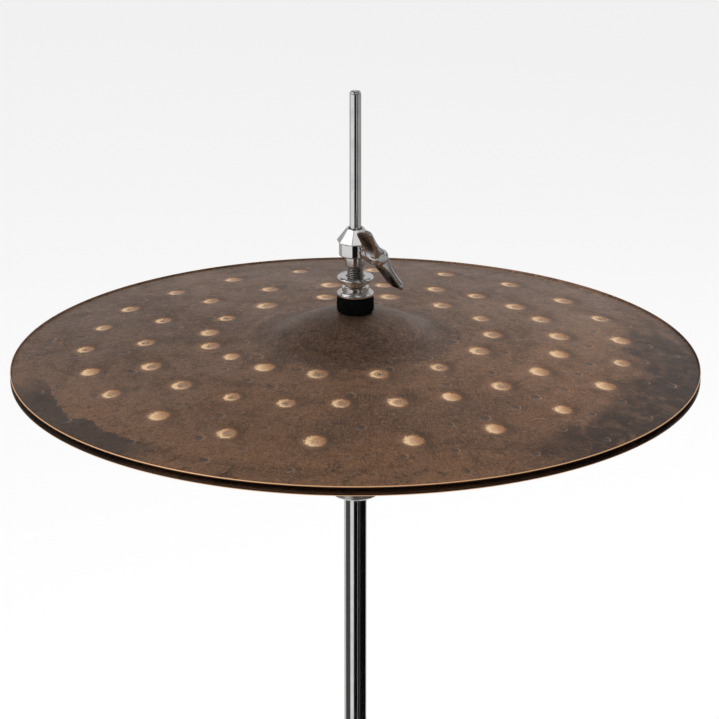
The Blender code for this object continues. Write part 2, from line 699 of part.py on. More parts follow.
def make_leg(number, azimuth, pin_half):
    pitch = pi / 2 - LEG_ANGLE
    hub_at = spun(azimuth, HUB_PIVOT_R, HUB_PIVOT_Z)
    turn = radial_turn(azimuth, pitch)
    hole = circle(0, 0, PIN_HOLE_R, PIN_STEPS)
    flat(f"leg_{number}", CHROME, capsule(LEG_LENGTH, 8.5, 6), LEG_T, hub_at, turn, [hole])
    turned(f"hub_pin_{number}", STEEL, headed_pin(2 * pin_half), hub_at, turn, PIN_STEPS)
    make_foot(number, azimuth, turn)
    brace_turn = radial_turn(azimuth, -BRACE_ANGLE)
    collar_at = sideways(azimuth, COLLAR_PIVOT_R, COLLAR_PIVOT_Z, BRACE_SIDE)
    holes = [hole, circle(BRACE_LENGTH, 0, PIN_HOLE_R, PIN_STEPS)]
    flat(f"brace_{number}", CHROME, capsule(BRACE_LENGTH, 6, 6), BRACE_T, collar_at, brace_turn, holes)
    stack = BRACE_T + 0.6 + 2 * 2.8
    turned(f"brace_pin_{number}", STEEL, headed_pin(stack), collar_at, brace_turn, PIN_STEPS)
    rivet_at = sideways(azimuth, RIVET_R, RIVET_Z, BRACE_SIDE)
    face = BRACE_T / 2 + GAP
    rivet = [(0, face + 2.4), (2.8, face + 1.8), (4.4, face), (PIN_R, face)]
    rivet += [(PIN_R, -BRACE_T / 2 - 0.2), (0, -BRACE_T / 2 - 0.2)]
    turned(f"leg_rivet_{number}", STEEL, rivet, rivet_at, radial_turn(azimuth, 0), PIN_STEPS)


def make_foot(number, azimuth, turn):
    """A rubber boot along the end of the leg, round below and cut flat on the floor."""
    ball = 13.0
    at = spun(azimuth, FOOT_R, FOOT_Z)
    profile = [(0, -36), (8.6, -36), (9.6, -35), (10.4, -20), (ball - 0.6, -4)]
    profile += [(ball * cos(a), ball * sin(a)) for a in (radians(22.5 * i) for i in range(4))]
    profile += [(0, ball)]
    boot = turned(f"foot_{number}", RUBBER, profile, steps=PIN_STEPS)
    boot.data.transform(Matrix.Rotation(pi / 2, 4, "Y"))
    pocket_length = 60
    pocket = flat("pocket", None, capsule(pocket_length, 6.8, 6.4), LEG_T + 0.7, (-pocket_length, 0, 0))
    cut(boot, pocket)
    boot.location = Vector(at) * MM
    boot.rotation_euler = turn
    floor = flat("floor", None, rounded(-400, -400, 400, 400, 5, 2), 40, (0, 0, -20))
    return cut(boot, floor)


half_width = make_hub()
for index, direction in enumerate(LEG_AZIMUTHS):
    make_leg(index + 1, direction, half_width)
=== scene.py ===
import json
import math

import bmesh
import bpy
import numpy as np
from mathutils import Matrix, Vector

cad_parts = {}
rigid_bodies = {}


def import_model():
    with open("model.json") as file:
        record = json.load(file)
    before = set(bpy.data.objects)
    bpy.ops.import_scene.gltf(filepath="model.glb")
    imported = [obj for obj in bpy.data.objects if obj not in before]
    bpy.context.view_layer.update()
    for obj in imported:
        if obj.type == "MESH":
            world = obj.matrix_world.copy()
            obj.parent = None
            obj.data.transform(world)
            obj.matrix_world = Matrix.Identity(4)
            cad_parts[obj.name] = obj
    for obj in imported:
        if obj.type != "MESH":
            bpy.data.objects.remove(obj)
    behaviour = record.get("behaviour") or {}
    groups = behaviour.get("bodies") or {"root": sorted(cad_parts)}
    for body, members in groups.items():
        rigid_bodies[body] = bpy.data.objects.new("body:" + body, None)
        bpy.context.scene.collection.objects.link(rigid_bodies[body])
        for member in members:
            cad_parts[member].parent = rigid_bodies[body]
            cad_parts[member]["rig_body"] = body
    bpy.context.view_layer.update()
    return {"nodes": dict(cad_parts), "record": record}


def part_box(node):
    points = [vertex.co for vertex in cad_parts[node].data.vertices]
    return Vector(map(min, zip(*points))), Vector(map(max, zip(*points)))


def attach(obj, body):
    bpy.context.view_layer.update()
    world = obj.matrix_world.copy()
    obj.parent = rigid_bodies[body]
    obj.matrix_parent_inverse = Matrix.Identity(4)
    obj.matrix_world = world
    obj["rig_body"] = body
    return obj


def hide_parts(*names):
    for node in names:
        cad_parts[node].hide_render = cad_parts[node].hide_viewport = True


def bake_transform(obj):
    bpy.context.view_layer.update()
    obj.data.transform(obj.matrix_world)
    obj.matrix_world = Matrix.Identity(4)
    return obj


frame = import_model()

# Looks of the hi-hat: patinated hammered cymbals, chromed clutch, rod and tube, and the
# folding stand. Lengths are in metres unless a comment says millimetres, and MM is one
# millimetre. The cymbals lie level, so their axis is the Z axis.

MM = 0.001
TAU = 2 * math.pi

TOP_LOW, TOP_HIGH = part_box("top_cymbal")
CYMBAL_R = TOP_HIGH.x
RIM_Z = TOP_LOW.z
BOTTOM_RIM_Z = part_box("bottom_cymbal")[1].z
SLOTS = {part["node"]: part["material_slot"] for part in frame["record"]["subparts"]}


# Stage ------------------------------------

VIEW_ELEVATION = math.radians(19.34)
VIEW_DISTANCE = 1.9
LENS_MM = 171.7
FRAME_SIZE = 719
SHIFT_RIGHT = 4.1 / FRAME_SIZE
SHIFT_DOWN = 3.4 / FRAME_SIZE
BACKGROUND = (0.93, 0.93, 0.93)
SENSOR_MM = 36.0
FLOOR_REACH = 14.0
FLOOR_DROP = 0.3 * MM
WORLD_STRENGTH = 0.93
LIGHT_AIM = (0, 0, RIM_Z)
SHELL_R = 1.3
SHELL_Z = 0.86

# Panels of the reflection shell: azimuth from -Y towards +X in degrees, height above the
# shell's centre as a share of its radius, and brightness.
ALL_ROUND = (-181, 181)
TUBE_BAND = (-2.0, -0.33)
ROD_BAND = (-0.33, -0.1)
BACK_BAND = (-0.08, 0.55)
PANELS = (
    (ALL_ROUND, TUBE_BAND, 0.62),
    ((-114, -53.5), TUBE_BAND, 0.07),
    ((-51, -21), TUBE_BAND, 0.85),
    ((-16, 134), TUBE_BAND, 0.004),
    ((21.5, 25), TUBE_BAND, 0.4),
    ((44, 48), TUBE_BAND, 0.12),
    (ALL_ROUND, ROD_BAND, 0.42),
    ((-110, -22), ROD_BAND, 0.85),
    ((-22, 16), ROD_BAND, 0.006),
    ((16, 34), ROD_BAND, 0.4),
    ((34, 50), ROD_BAND, 0.06),
    ((50, 150), ROD_BAND, 0.36),
    ((-181, -112), BACK_BAND, 0.56),
    ((118, 181), BACK_BAND, 0.56),
    ((-160, -134), (-0.1, 0.2), 0.42),
    ((-108, -48), (0.36, 0.82), 1.35),
    ((2, 52), (0.62, 0.88), 0.85),
    ((90, 118), (0.1, 0.8), 0.6),
)
UPPER_LEVEL = 0.14
SOFT_AZIMUTH = 0.8
SOFT_HEIGHT = 0.01


def make_camera():
    data = bpy.data.cameras.new("camera")
    data.lens = LENS_MM
    data.sensor_width = SENSOR_MM
    data.shift_x = SHIFT_RIGHT
    data.shift_y = SHIFT_DOWN
    data.clip_start = 0.05
    data.clip_end = 100.0
    camera = bpy.data.objects.new("camera", data)
    bpy.context.scene.collection.objects.link(camera)
    target = Vector((0, 0, RIM_Z))
    back = Vector((0, -math.cos(VIEW_ELEVATION), math.sin(VIEW_ELEVATION)))
    camera.location = target + back * VIEW_DISTANCE
    camera.rotation_euler = (-back).to_track_quat("-Z", "Y").to_euler()
    bpy.context.scene.camera = camera


def make_light(name, place, size, power):
    """A softbox in the shape of a rectangle, aimed at the cymbals."""
    data = bpy.data.lights.new(name, "AREA")
    data.shape = "RECTANGLE"
    data.size, data.size_y = size
    data.energy = power
    light = bpy.data.objects.new(name, data)
    light.location = place
    light.rotation_euler = (Vector(LIGHT_AIM) - Vector(place)).to_track_quat("-Z", "Y").to_euler()
    bpy.context.scene.collection.objects.link(light)


def band(n, value, low, high, soft):
    """1 between two values of a socket and 0 outside, with soft ends."""
    return n.mul(n.ramp(value, low - soft, low + soft), n.fade(value, high - soft, high + soft))


def make_shell():
    """A round studio wall of bright panels and dark gaps, which only shiny surfaces see."""
    shape = bmesh.new()
    bmesh.ops.create_uvsphere(shape, u_segments=48, v_segments=24, radius=SHELL_R)
    mesh = bpy.data.meshes.new("reflection_shell")
    shape.to_mesh(mesh)
    shape.free()
    shell = bpy.data.objects.new("reflection_shell", mesh)
    shell.location.z = SHELL_Z
    bpy.context.scene.collection.objects.link(shell)
    n = Nodes("reflection_panels")
    x, y, z = n.axes(n.coords())
    azimuth = n.mul(n.math("ARCTAN2", x, n.mul(y, -1.0)), 180 / math.pi)
    height = n.mul(z, 1 / SHELL_R)
    level = UPPER_LEVEL
    for (left, right), (low, high), bright in PANELS:
        inside = n.mul(band(n, azimuth, left, right, SOFT_AZIMUTH), band(n, height, low, high, SOFT_HEIGHT))
        level = n.add(n.mul(n.sub(1.0, inside), level), n.mul(inside, bright))
    glow = n.tree.nodes.new("ShaderNodeEmission")
    n.link(level, glow.inputs["Strength"])
    n.tree.links.new(glow.outputs[0], n.tree.nodes["Material Output"].inputs["Surface"])
    mesh.materials.append(n.material)
    shell.visible_camera = False
    shell.visible_diffuse = False
    shell.visible_shadow = False
    shell.visible_transmission = False


def make_floor():
    """A plain pale floor just under the feet."""
    mesh = bpy.data.meshes.new("floor")
    ends = ((-1, -1), (1, -1), (1, 1), (-1, 1))
    mesh.from_pydata([(x * FLOOR_REACH, y * FLOOR_REACH, -FLOOR_DROP) for x, y in ends], [], [(0, 1, 2, 3)])
    floor = bpy.data.objects.new("floor", mesh)
    bpy.context.scene.collection.objects.link(floor)
    n = Nodes("pale_floor")
    mesh.materials.append(n.set(Base_Color=BACKGROUND, Roughness=0.9, Specular_IOR_Level=0.1))


def make_stage():
    scene = bpy.context.scene
    scene.view_settings.view_transform = "Standard"
    scene.view_settings.look = "None"
    world = bpy.data.worlds.new("studio")
    world.use_nodes = True
    world.node_tree.nodes["Background"].inputs["Color"].default_value = (1, 1, 1, 1)
    world.node_tree.nodes["Background"].inputs["Strength"].default_value = WORLD_STRENGTH
    scene.world = world
    make_floor()
    make_light("key_softbox", (-1.6, -0.9, 2.5), (1.4, 1.4), 16)
    make_light("back_softbox", (1.2, 1.8, 2.3), (1.2, 1.2), 10)
    make_shell()


# Node helpers -----------------------------


class Nodes:
    """Short names for building a material's node tree."""

    def __init__(self, name):
        self.material = bpy.data.materials.new(name)
        self.material.use_nodes = True
        self.tree = self.material.node_tree
        self.shader = self.tree.nodes["Principled BSDF"]

    def link(self, source, socket):
        if isinstance(source, (int, float)):
            socket.default_value = source
        elif isinstance(source, tuple):
            socket.default_value = source if len(source) == len(socket.default_value) else (*source, 1)
        else:
            self.tree.links.new(source, socket)

    def math(self, operation, a, b=0.0):
        node = self.tree.nodes.new("ShaderNodeMath")
        node.operation = operation
        self.link(a, node.inputs[0])
        self.link(b, node.inputs[1])
        return node.outputs[0]

    def add(self, a, b):
        return self.math("ADD", a, b)

    def sub(self, a, b):
        return self.math("SUBTRACT", a, b)

    def mul(self, a, b):
        return self.math("MULTIPLY", a, b)

    def off(self, value, middle):
        """How far a value is from a middle one."""
        return self.math("ABSOLUTE", self.sub(value, middle))

    def coords(self):
        return self.tree.nodes.new("ShaderNodeTexCoord").outputs["Object"]

    def axes(self, vector):
        node = self.tree.nodes.new("ShaderNodeSeparateXYZ")
        self.link(vector, node.inputs[0])
        return node.outputs

    def radius(self, x, y):
        return self.math("SQRT", self.add(self.mul(x, x), self.mul(y, y)))

    def attribute(self, name):
        """A value that the mesh carries at each of its points."""
        node = self.tree.nodes.new("ShaderNodeAttribute")
        node.attribute_name = name
        return node.outputs["Fac"]

    def stretch(self, vector, scale):
        node = self.tree.nodes.new("ShaderNodeMapping")
        self.link(vector, node.inputs["Vector"])
        node.inputs["Scale"].default_value = scale
        return node.outputs[0]

    def noise(self, vector, scale, detail=4.0, rough=0.55, distort=0.0):
        node = self.tree.nodes.new("ShaderNodeTexNoise")
        self.link(vector, node.inputs["Vector"])
        node.inputs["Scale"].default_value = scale
        node.inputs["Detail"].default_value = detail
        node.inputs["Roughness"].default_value = rough
        node.inputs["Distortion"].default_value = distort
        return node.outputs["Fac"]

    def ramp(self, value, low, high, to_low=0.0, to_high=1.0):
        """A smooth step from to_low at low to to_high at high."""
        node = self.tree.nodes.new("ShaderNodeMapRange")
        node.interpolation_type = "SMOOTHSTEP"
        self.link(value, node.inputs["Value"])
        node.inputs["From Min"].default_value = low
        node.inputs["From Max"].default_value = high
        node.inputs["To Min"].default_value = to_low
        node.inputs["To Max"].default_value = to_high
        return node.outputs[0]

    def fade(self, value, full, none, amount=1.0):
        """The amount up to the value full, and nothing from the value none."""
        return self.ramp(value, full, none, amount, 0.0)

    def mix(self, factor, a, b):
        node = self.tree.nodes.new("ShaderNodeMix")
        node.data_type = "RGBA"
        self.link(factor, node.inputs[0])
        self.link(a, node.inputs[6])
        self.link(b, node.inputs[7])
        return node.outputs[2]

    def bump(self, height, strength, distance):
        node = self.tree.nodes.new("ShaderNodeBump")
        self.link(height, node.inputs["Height"])
        node.inputs["Strength"].default_value = strength
        node.inputs["Distance"].default_value = distance
        self.link(node.outputs[0], self.shader.inputs["Normal"])

    def set(self, **values):
        for name, value in values.items():
            self.link(value, self.shader.inputs[name.replace("_", " ")])
        return self.material


# Mesh helpers -----------------------------


def new_piece(name, mesh, body, nodes, material, sharp=40):
    """A smooth-shaded piece that rides on a body, if it has one, in place of some CAD nodes."""
    piece = bpy.data.objects.new(name, mesh)
    bpy.context.scene.collection.objects.link(piece)
    mesh.materials.append(material)
    mesh.shade_smooth()
    mesh.set_sharp_from_angle(angle=math.radians(sharp))
    if body:
        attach(piece, body)
    if nodes:
        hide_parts(*nodes)
    return piece


def signed_area(points):
    """Positive for an outline that runs counterclockwise."""
    ends = points[1:] + points[:1]
    return sum(a[0] * b[1] - b[0] * a[1] for a, b in zip(points, ends)) / 2


def fillet(points, radius, count=4):
    """The closed outline with each corner rounded, less where an edge is short.

    A point's third number, if it has one, is its own radius of rounding.
    """
    rounded = []
    for i, corner in enumerate(points):
        here = Vector(corner[:2])
        before = Vector(points[i - 1][:2]) - here
        after = Vector(points[(i + 1) % len(points)][:2]) - here
        own = corner[2] if len(corner) > 2 else radius
        if own <= 0 or here.x <= 1e-9:
            rounded.append((here.x, here.y))
            continue
        turn = before.angle(after)
        reach = min(own / math.tan(turn / 2), before.length * 0.48, after.length * 0.48)
        start = here + before.normalized() * reach
        end = here + after.normalized() * reach
        for k in range(count + 1):
            t = k / count
            point = start * (1 - t) ** 2 + here * 2 * t * (1 - t) + end * t**2
            rounded.append((point.x, point.y))
    return rounded


def revolve(name, profile, steps=96, shape=None, phase=0.0):
    """A closed (radius, height) outline turned about local Z. shape(r, angle, z) may give another (r, z)."""
    if signed_area(profile) > 0:
        profile = profile[::-1]
    axis = [i for i, (r, _) in enumerate(profile) if r < 1e-9]
    if axis:
        first = next(i for i in axis if profile[(i + 1) % len(profile)][0] > 1e-9)
        profile = profile[first:] + profile[:first]
    shape_mesh = bmesh.new()
    rows = []
    for r, z in profile:
        if r < 1e-9:
            rows.append([shape_mesh.verts.new((0, 0, z))])
            continue
        row = []
        for k in range(steps):
            angle = TAU * k / steps + phase
            rr, zz = shape(r, angle, z) if shape else (r, z)
            row.append(shape_mesh.verts.new((rr * math.cos(angle), rr * math.sin(angle), zz)))
        rows.append(row)
    pairs = list(zip(rows, rows[1:]))
    if not axis:
        pairs.append((rows[-1], rows[0]))
    for upper, lower in pairs:
        if len(upper) == 1 and len(lower) == 1:
            continue
        for k in range(steps):
            j = (k + 1) % steps
            if len(upper) == 1:
                shape_mesh.faces.new((upper[0], lower[k], lower[j]))
            elif len(lower) == 1:
                shape_mesh.faces.new((upper[k], lower[0], upper[j]))
            else:
                shape_mesh.faces.new((upper[k], lower[k], lower[j], upper[j]))
    bmesh.ops.recalc_face_normals(shape_mesh, faces=shape_mesh.faces)
    mesh = bpy.data.meshes.new(name)
    shape_mesh.to_mesh(mesh)
    shape_mesh.free()
    return mesh


def mm(points):
    return [tuple(value * MM for value in point) for point in points]


# Finishes ---------------------------------

# A value at each point of a wing screw: 1 down in the hollow of a wing, 0 elsewhere.
# It places painted shade there, as well as a rougher, pitted finish.
HOLLOW_VALUE = "recess"


def chrome(name, tint=(0.74, 0.73, 0.72), rough=0.09):
    """Bright plating with smudges."""
    n = Nodes(name)
    place = n.coords()
    smudge = n.noise(place, 90, 5, 0.6)
    n.bump(n.noise(place, 900, 3), 0.04, 0.0002)
    haze = n.ramp(smudge, 0.35, 0.75, rough * 0.7, rough * 1.6)
    dull = tuple(value * 0.88 for value in tint)
    return n.set(Base_Color=n.mix(n.ramp(smudge, 0.45, 0.7), tint, dull), Metallic=1.0, Roughness=haze)


def nickel(name, tint=(0.52, 0.5, 0.47), rough=0.3):
    """Satin plating with marks of turning."""
    n = Nodes(name)
    place = n.coords()
    brush = n.noise(n.stretch(place, (1, 1, 26)), 220, 3)
    cloud = n.noise(place, 60, 4)
    dark = tuple(value * 0.7 for value in tint)
    n.bump(brush, 0.12, 0.0002)
    colour = n.mix(n.ramp(cloud, 0.35, 0.7), tint, dark)
    haze = n.ramp(brush, 0.3, 0.7, rough * 0.8, rough * 1.3)
    return n.set(Base_Color=colour, Metallic=1.0, Roughness=haze)


def thread_steel(name):
    """Steel with painted shade down in the thread's roots and bright crests."""
    n = Nodes(name)
    place = n.coords()
    x, y, _ = n.axes(place)
    grain = n.noise(place, 900, 4, 0.7)
    uneven = n.add(n.radius(x, y), n.mul(n.sub(grain, 0.5), 0.0003))
    crest = n.ramp(uneven, (SLEEVE_R - 0.34) * MM, (SLEEVE_R - 0.04) * MM)
    n.bump(grain, 0.3, 0.0002)
    # Painted shade down in the roots of the thread; bright steel on the crests.
    colour = n.mix(crest, (0.022, 0.019, 0.017), (0.42, 0.39, 0.36))
    return n.set(Base_Color=colour, Metallic=1.0, Roughness=n.ramp(grain, 0.3, 0.7, 0.22, 0.42))


def wing_chrome(name):
    """Chrome over a casting: bright on the ribs, and down in the hollows rougher and pitted, with painted
    shade.
    """
    n = Nodes(name)
    place = n.coords()
    smudge = n.noise(place, 160, 5, 0.65)
    pits = n.noise(place, 700, 4, 0.7)
    shaded_hollow = n.mul(n.attribute(HOLLOW_VALUE), n.ramp(smudge, 0.25, 0.6, 0.55, 1.0))
    n.bump(n.add(n.mul(smudge, 0.8), n.mul(pits, n.add(n.mul(shaded_hollow, 0.6), 0.05))), 0.3, 0.0007)
    clean = n.mix(n.ramp(smudge, 0.4, 0.7), (0.76, 0.75, 0.74), (0.60, 0.58, 0.57))
    # Painted shade down in the hollows of the wings, made uneven by the smudges.
    colour = n.mix(n.mul(shaded_hollow, 0.93), clean, (0.040, 0.031, 0.026))
    haze = n.add(n.ramp(smudge, 0.35, 0.75, 0.08, 0.17), n.mul(shaded_hollow, 0.16))
    return n.set(Base_Color=colour, Metallic=1.0, Roughness=haze)


def cast_metal(name, tint=(0.4, 0.4, 0.41)):
    """A light casting with a fine grain and cloudy wear."""
    n = Nodes(name)
    place = n.coords()
    grain = n.noise(place, 1400, 2)
    cloud = n.noise(place, 35, 5)
    dark = tuple(value * 0.75 for value in tint)
    n.bump(grain, 0.3, 0.0003)
    rough = n.ramp(n.add(n.mul(cloud, 0.6), n.mul(grain, 0.4)), 0.3, 0.7, 0.32, 0.5)
    return n.set(Base_Color=n.mix(n.ramp(cloud, 0.35, 0.65), tint, dark), Metallic=0.85, Roughness=rough)


def felt(name):
    """Black pressed wool, matted in clumps."""
    n = Nodes(name)
    place = n.coords()
    fibre = n.noise(place, 1500, 5, 0.75, 1.2)
    clump = n.noise(place, 350, 4, 0.65)
    both = n.add(n.mul(fibre, 0.6), n.mul(clump, 0.4))
    n.bump(both, 0.9, 0.0006)
    colour = n.mix(n.ramp(both, 0.4, 0.68), (0.0015, 0.0015, 0.0016), (0.007, 0.006, 0.0055))
    haze = n.ramp(fibre, 0.3, 0.7, 0.9, 1.0)
    return n.set(Base_Color=colour, Roughness=haze, Specular_IOR_Level=0.04)


def moulded(name, tint, rough):
    """Moulded plastic or rubber with paler scuffs."""
    n = Nodes(name)
    place = n.coords()
    grain = n.noise(place, 1100, 3)
    scuff = n.noise(place, 70, 5)
    light = tuple(min(value * 1.7, 1.0) for value in tint)
    n.bump(grain, 0.25, 0.0002)
    colour = n.mix(n.ramp(scuff, 0.5, 0.8), tint, light)
    haze = n.ramp(scuff, 0.3, 0.7, rough * 0.85, min(rough * 1.15, 1.0))
    return n.set(Base_Color=colour, Roughness=haze)


# Cymbals ----------------------------------

APEX = TOP_HIGH.z - TOP_LOW.z + 0.28 * MM
CYMBAL_THICK = 1.2 * MM
HOLE_R = 6.5 * MM
BELL_SPHERE_R = 76 * MM
BOW_HEIGHT = 17 * MM
BLEND = 1.4 * MM

# Rings of hammer marks: mean radius, two swings of the radius, marks, first mark and two swings of
# the angle. A swing is (size, direction), the first once round the cymbal and the second twice.
BIG_RINGS = (
    (74.2, (7.0, 112), (4.9, 12), 15, 0.0, (9.2, 70), (6.6, -68)),
    (109.0, (3.1, 108), (7.0, 2), 21, 4.8, (7.0, -93), (3.1, 4)),
    (147.8, (3.1, 83), (2.2, 41), 22, 3.0, (5.0, 13), (3.3, -89)),
)
SMALL_RINGS = (
    (59, (5, 200), (3, 20), 14, 14, (8, 30), (4, 80)),
    (91, (6, 60), (4, 150), 22, 3, (7, 120), (4, 10)),
    (127, (5, 300), (5, 50), 31, 9, (6, 210), (4, 140)),
    (160, (6, 20), (4, 110), 34, 2, (5, 300), (3, 60)),
    (178, (3, 20), (2, 110), 24, 5, (5, 100), (3, 160)),
)
BIG_R = 5.0
SMALL_R = 2.7
# The direction in plan that each mark's painted light comes from. A mark's ring and halo are painted lighter
# on this side.
# Its painted shade, and a small dent's painted highlighted lip, lie on the other side.
PAINTED_LIGHT_SIDE = math.radians(195)
# A distance over a mark's radius that is past every mark.
FAR = 9.0
# Depths of the marks and of the slow waves left by hammering, in millimetres.
WIDE_DIP, FLAT_DIP, SMALL_DIP, WARP = 0.34, 0.30, 0.16, 0.10
# What a cymbal's mesh carries at each point, for the nearest large and small mark: the distance
# over the mark's radius, the side of the mark that the point lies on, towards the painted light or away from
# it, and the mark's strength.
MARK_VALUES = ("strike", "strike_light_side", "strike_power", "dent", "dent_light_side", "dent_power")
# The cymbal's edge from its outer face down: how far in from the rim in millimetres, and the
# height as a share of the thickness.
EDGE_ROUND = ((0.3, 0.97), (0.05, 0.75), (0, 0.5), (0.05, 0.22), (0.3, 0.02))


def cymbal_height(r):
    """Height of the outer face above the rim: a domed bell blended into a bow."""
    dome = APEX - BELL_SPHERE_R + np.sqrt(np.maximum(BELL_SPHERE_R**2 - r**2, 0))
    bow = BOW_HEIGHT * (1 - (r / CYMBAL_R) ** 2)
    blended = (dome + bow) / 2 + np.sqrt(((dome - bow) / 2) ** 2 + BLEND**2)
    rim_dome = APEX - BELL_SPHERE_R
    lift = rim_dome / 2 + math.sqrt(rim_dome**2 / 4 + BLEND**2)
    return blended - lift * (r / CYMBAL_R) ** 2


def ring_marks(rings, slip, rng):
    """Places of the marks of some rings in millimetres, with a size and a strength for each."""
    rows = []
    for mean, once, twice, count, first, turn_once, turn_twice in rings:
        turn = np.arange(count) * 360 / count
        angle = turn + first
        r = np.full(count, float(mean))
        for times, (out, out_at), (along, along_at) in ((1, once, turn_once), (2, twice, turn_twice)):
            r += out * np.cos(np.radians(times * turn - out_at))
            angle += along * np.cos(np.radians(times * turn - along_at))
        r += rng.uniform(-slip, slip, count)
        angle = np.radians(angle) + rng.uniform(-slip, slip, count) / r
        size = rng.uniform(0.82, 1.12, count)
        strength = rng.uniform(0.35, 1.0, count)
        rows.append(np.stack([r * np.cos(angle), r * np.sin(angle), size, strength], 1))
    return np.concatenate(rows)


def nearest_mark(x, y, marks, radius):
    """What MARK_VALUES says, for points in millimetres."""
    best = np.full(x.shape, FAR)
    side = np.zeros(x.shape)
    strength = np.zeros(x.shape)
    for mark_x, mark_y, size, power in marks:
        dx, dy = x - mark_x, y - mark_y
        share = np.hypot(dx, dy) / (radius * size)
        closer = share < best
        best = np.where(closer, share, best)
        # Which side of the mark the point lies on, measured along the direction of the painted light.
        side = np.where(closer, (dx * math.cos(PAINTED_LIGHT_SIDE) + dy * math.sin(PAINTED_LIGHT_SIDE)) / radius, side)
        strength = np.where(closer, power, strength)
    return best, np.clip(side, -2, 2), strength


def cymbal_mesh(name, up, seed, thin):
    """Both faces of a cymbal on a polar grid, dented by the hammering. up is 1 with the bell on top."""
    step, segments = (3.0, 240) if thin else (1.3, 600)
    edge = CYMBAL_R / MM
    outer_r = np.concatenate([np.arange(HOLE_R / MM, edge - 1.5, step), [edge - 0.7]])
    inner_r = np.concatenate([[edge - 0.7], np.arange(edge - 3, HOLE_R / MM + 2, -3.5), [HOLE_R / MM]])
    angles = np.arange(segments) * TAU / segments
    rng = np.random.default_rng(seed)
    big = ring_marks(BIG_RINGS, 1.2, rng)
    small = ring_marks(SMALL_RINGS, 4.5, rng)
    thick = CYMBAL_THICK / MM
    rows = []
    for radii, outside in ((outer_r, True), (inner_r, False)):
        r, angle = np.meshgrid(radii, angles, indexing="ij")
        x, y = r * np.cos(angle), r * np.sin(angle)
        near, side, power = nearest_mark(x, y, big, BIG_R)
        near_small, side_small, power_small = nearest_mark(x, y, small, SMALL_R)
        soft = np.clip((r - 8) / 8, 0, 1) * np.clip((edge - r) / 8, 0, 1)
        bowl = WIDE_DIP * np.exp(-((near / 1.7) ** 2)) + FLAT_DIP * np.exp(-((near / 0.95) ** 4))
        bowl += SMALL_DIP * np.exp(-(near_small**2))
        wave = WARP * np.sin(angle * 3 + r * 0.045) * np.sin(r * 0.11 + 1.3 * np.sin(2 * angle))
        height = cymbal_height(r * MM) / MM
        if outside:
            z = np.maximum(height - (bowl - wave) * soft, 0.02)
        else:
            z = np.maximum(height - thick - 0.4 * bowl * soft, 0.05)
        marks = (near, side, power, near_small, side_small, power_small)
        rows += [(x[i], y[i], z[i], *(value[i] for value in marks)) for i in range(len(radii))]
        if outside:
            far, none = np.full(segments, FAR), np.zeros(segments)
            for inset, share in EDGE_ROUND:
                ring_x, ring_y = (edge - inset) * np.cos(angles), (edge - inset) * np.sin(angles)
                level = np.full(segments, thick * share)
                rows.append((ring_x, ring_y, level, far, none, none, far, none, none))
    table = np.stack([np.stack(row, -1) for row in rows])
    count = len(rows)
    points = table[:, :, :3] * MM * np.array([1, 1, up])
    first = np.arange(count * segments).reshape(count, segments)
    after = np.roll(first, -1, axis=1)
    below = np.roll(first, -1, axis=0)
    corner = np.roll(after, -1, axis=0)
    faces = np.stack([first, below, corner, after], -1).reshape(-1, 4)
    if up < 0:
        faces = faces[:, ::-1]
    mesh = bpy.data.meshes.new(name)
    mesh.from_pydata(points.reshape(-1, 3).tolist(), [], faces.tolist())
    for k, label in enumerate(MARK_VALUES):
        values = mesh.attributes.new(label, "FLOAT", "POINT")
        values.data.foreach_set("value", table[:, :, 3 + k].reshape(-1).astype(np.float32))
    return mesh


# Tones of the cymbals, from the oxide skin to bare bronze.
PATINA_GREY = (0.190, 0.118, 0.082)
PATINA_WARM = (0.300, 0.142, 0.066)
# Layers of the patina: the noise, the values where a layer starts and is full, how strong it
# gets, and its tone.
PATINA_LAYERS = (
    ("blotch", 0.50, 0.68, 0.50, (0.105, 0.066, 0.046)),
    ("blotch", 0.44, 0.30, 0.45, (0.250, 0.150, 0.098)),
    ("cloud", 0.54, 0.70, 0.40, (0.150, 0.104, 0.082)),
    ("mottle", 0.52, 0.66, 0.62, (0.078, 0.046, 0.032)),
    ("mottle", 0.46, 0.34, 0.45, (0.310, 0.180, 0.110)),
    ("patch", 0.50, 0.66, 0.55, (0.085, 0.052, 0.037)),
    ("patch", 0.48, 0.34, 0.45, (0.330, 0.190, 0.115)),
)
TAN = (0.330, 0.180, 0.105)
SLATE = (0.086, 0.064, 0.054)
SOOT = (0.040, 0.024, 0.017)
SPOT = (0.040, 0.027, 0.021)
AMBER = (0.160, 0.075, 0.042)
OCHRE = (0.300, 0.170, 0.075)
# Painted shade in faint arcs, for the shading of the hammered waves.
ARC_SHADE = (0.070, 0.044, 0.032)
BELL = (0.110, 0.070, 0.052)
# Painted shade in the crease at the bell's foot.
BELL_FOOT_SHADE = (0.060, 0.042, 0.035)
TURNED_DARK = (0.048, 0.031, 0.023)
TURNED_LIGHT = (0.270, 0.160, 0.100)
STREAK = (0.070, 0.048, 0.038)
# Layers of the grain, as above. The light ones leave out the dark areas and most of the bell.
GRAIN_LAYERS = (
    ("speckle", 0.53, 0.68, 0.62, (0.075, 0.050, 0.038), False),
    ("speckle", 0.45, 0.32, 0.55, (0.430, 0.235, 0.130), True),
    ("grain", 0.51, 0.68, 0.72, (0.420, 0.245, 0.150), True),
    ("grain", 0.47, 0.30, 0.62, (0.046, 0.034, 0.030), False),
    ("fine", 0.52, 0.66, 0.72, (0.500, 0.245, 0.120), True),
    ("fine", 0.46, 0.34, 0.66, (0.042, 0.028, 0.022), False),
)
DENT_FLOOR = (0.095, 0.085, 0.085)
# Painted highlight on one side of a small dent's lip.
DENT_LIP_HIGHLIGHT = (0.460, 0.280, 0.165)
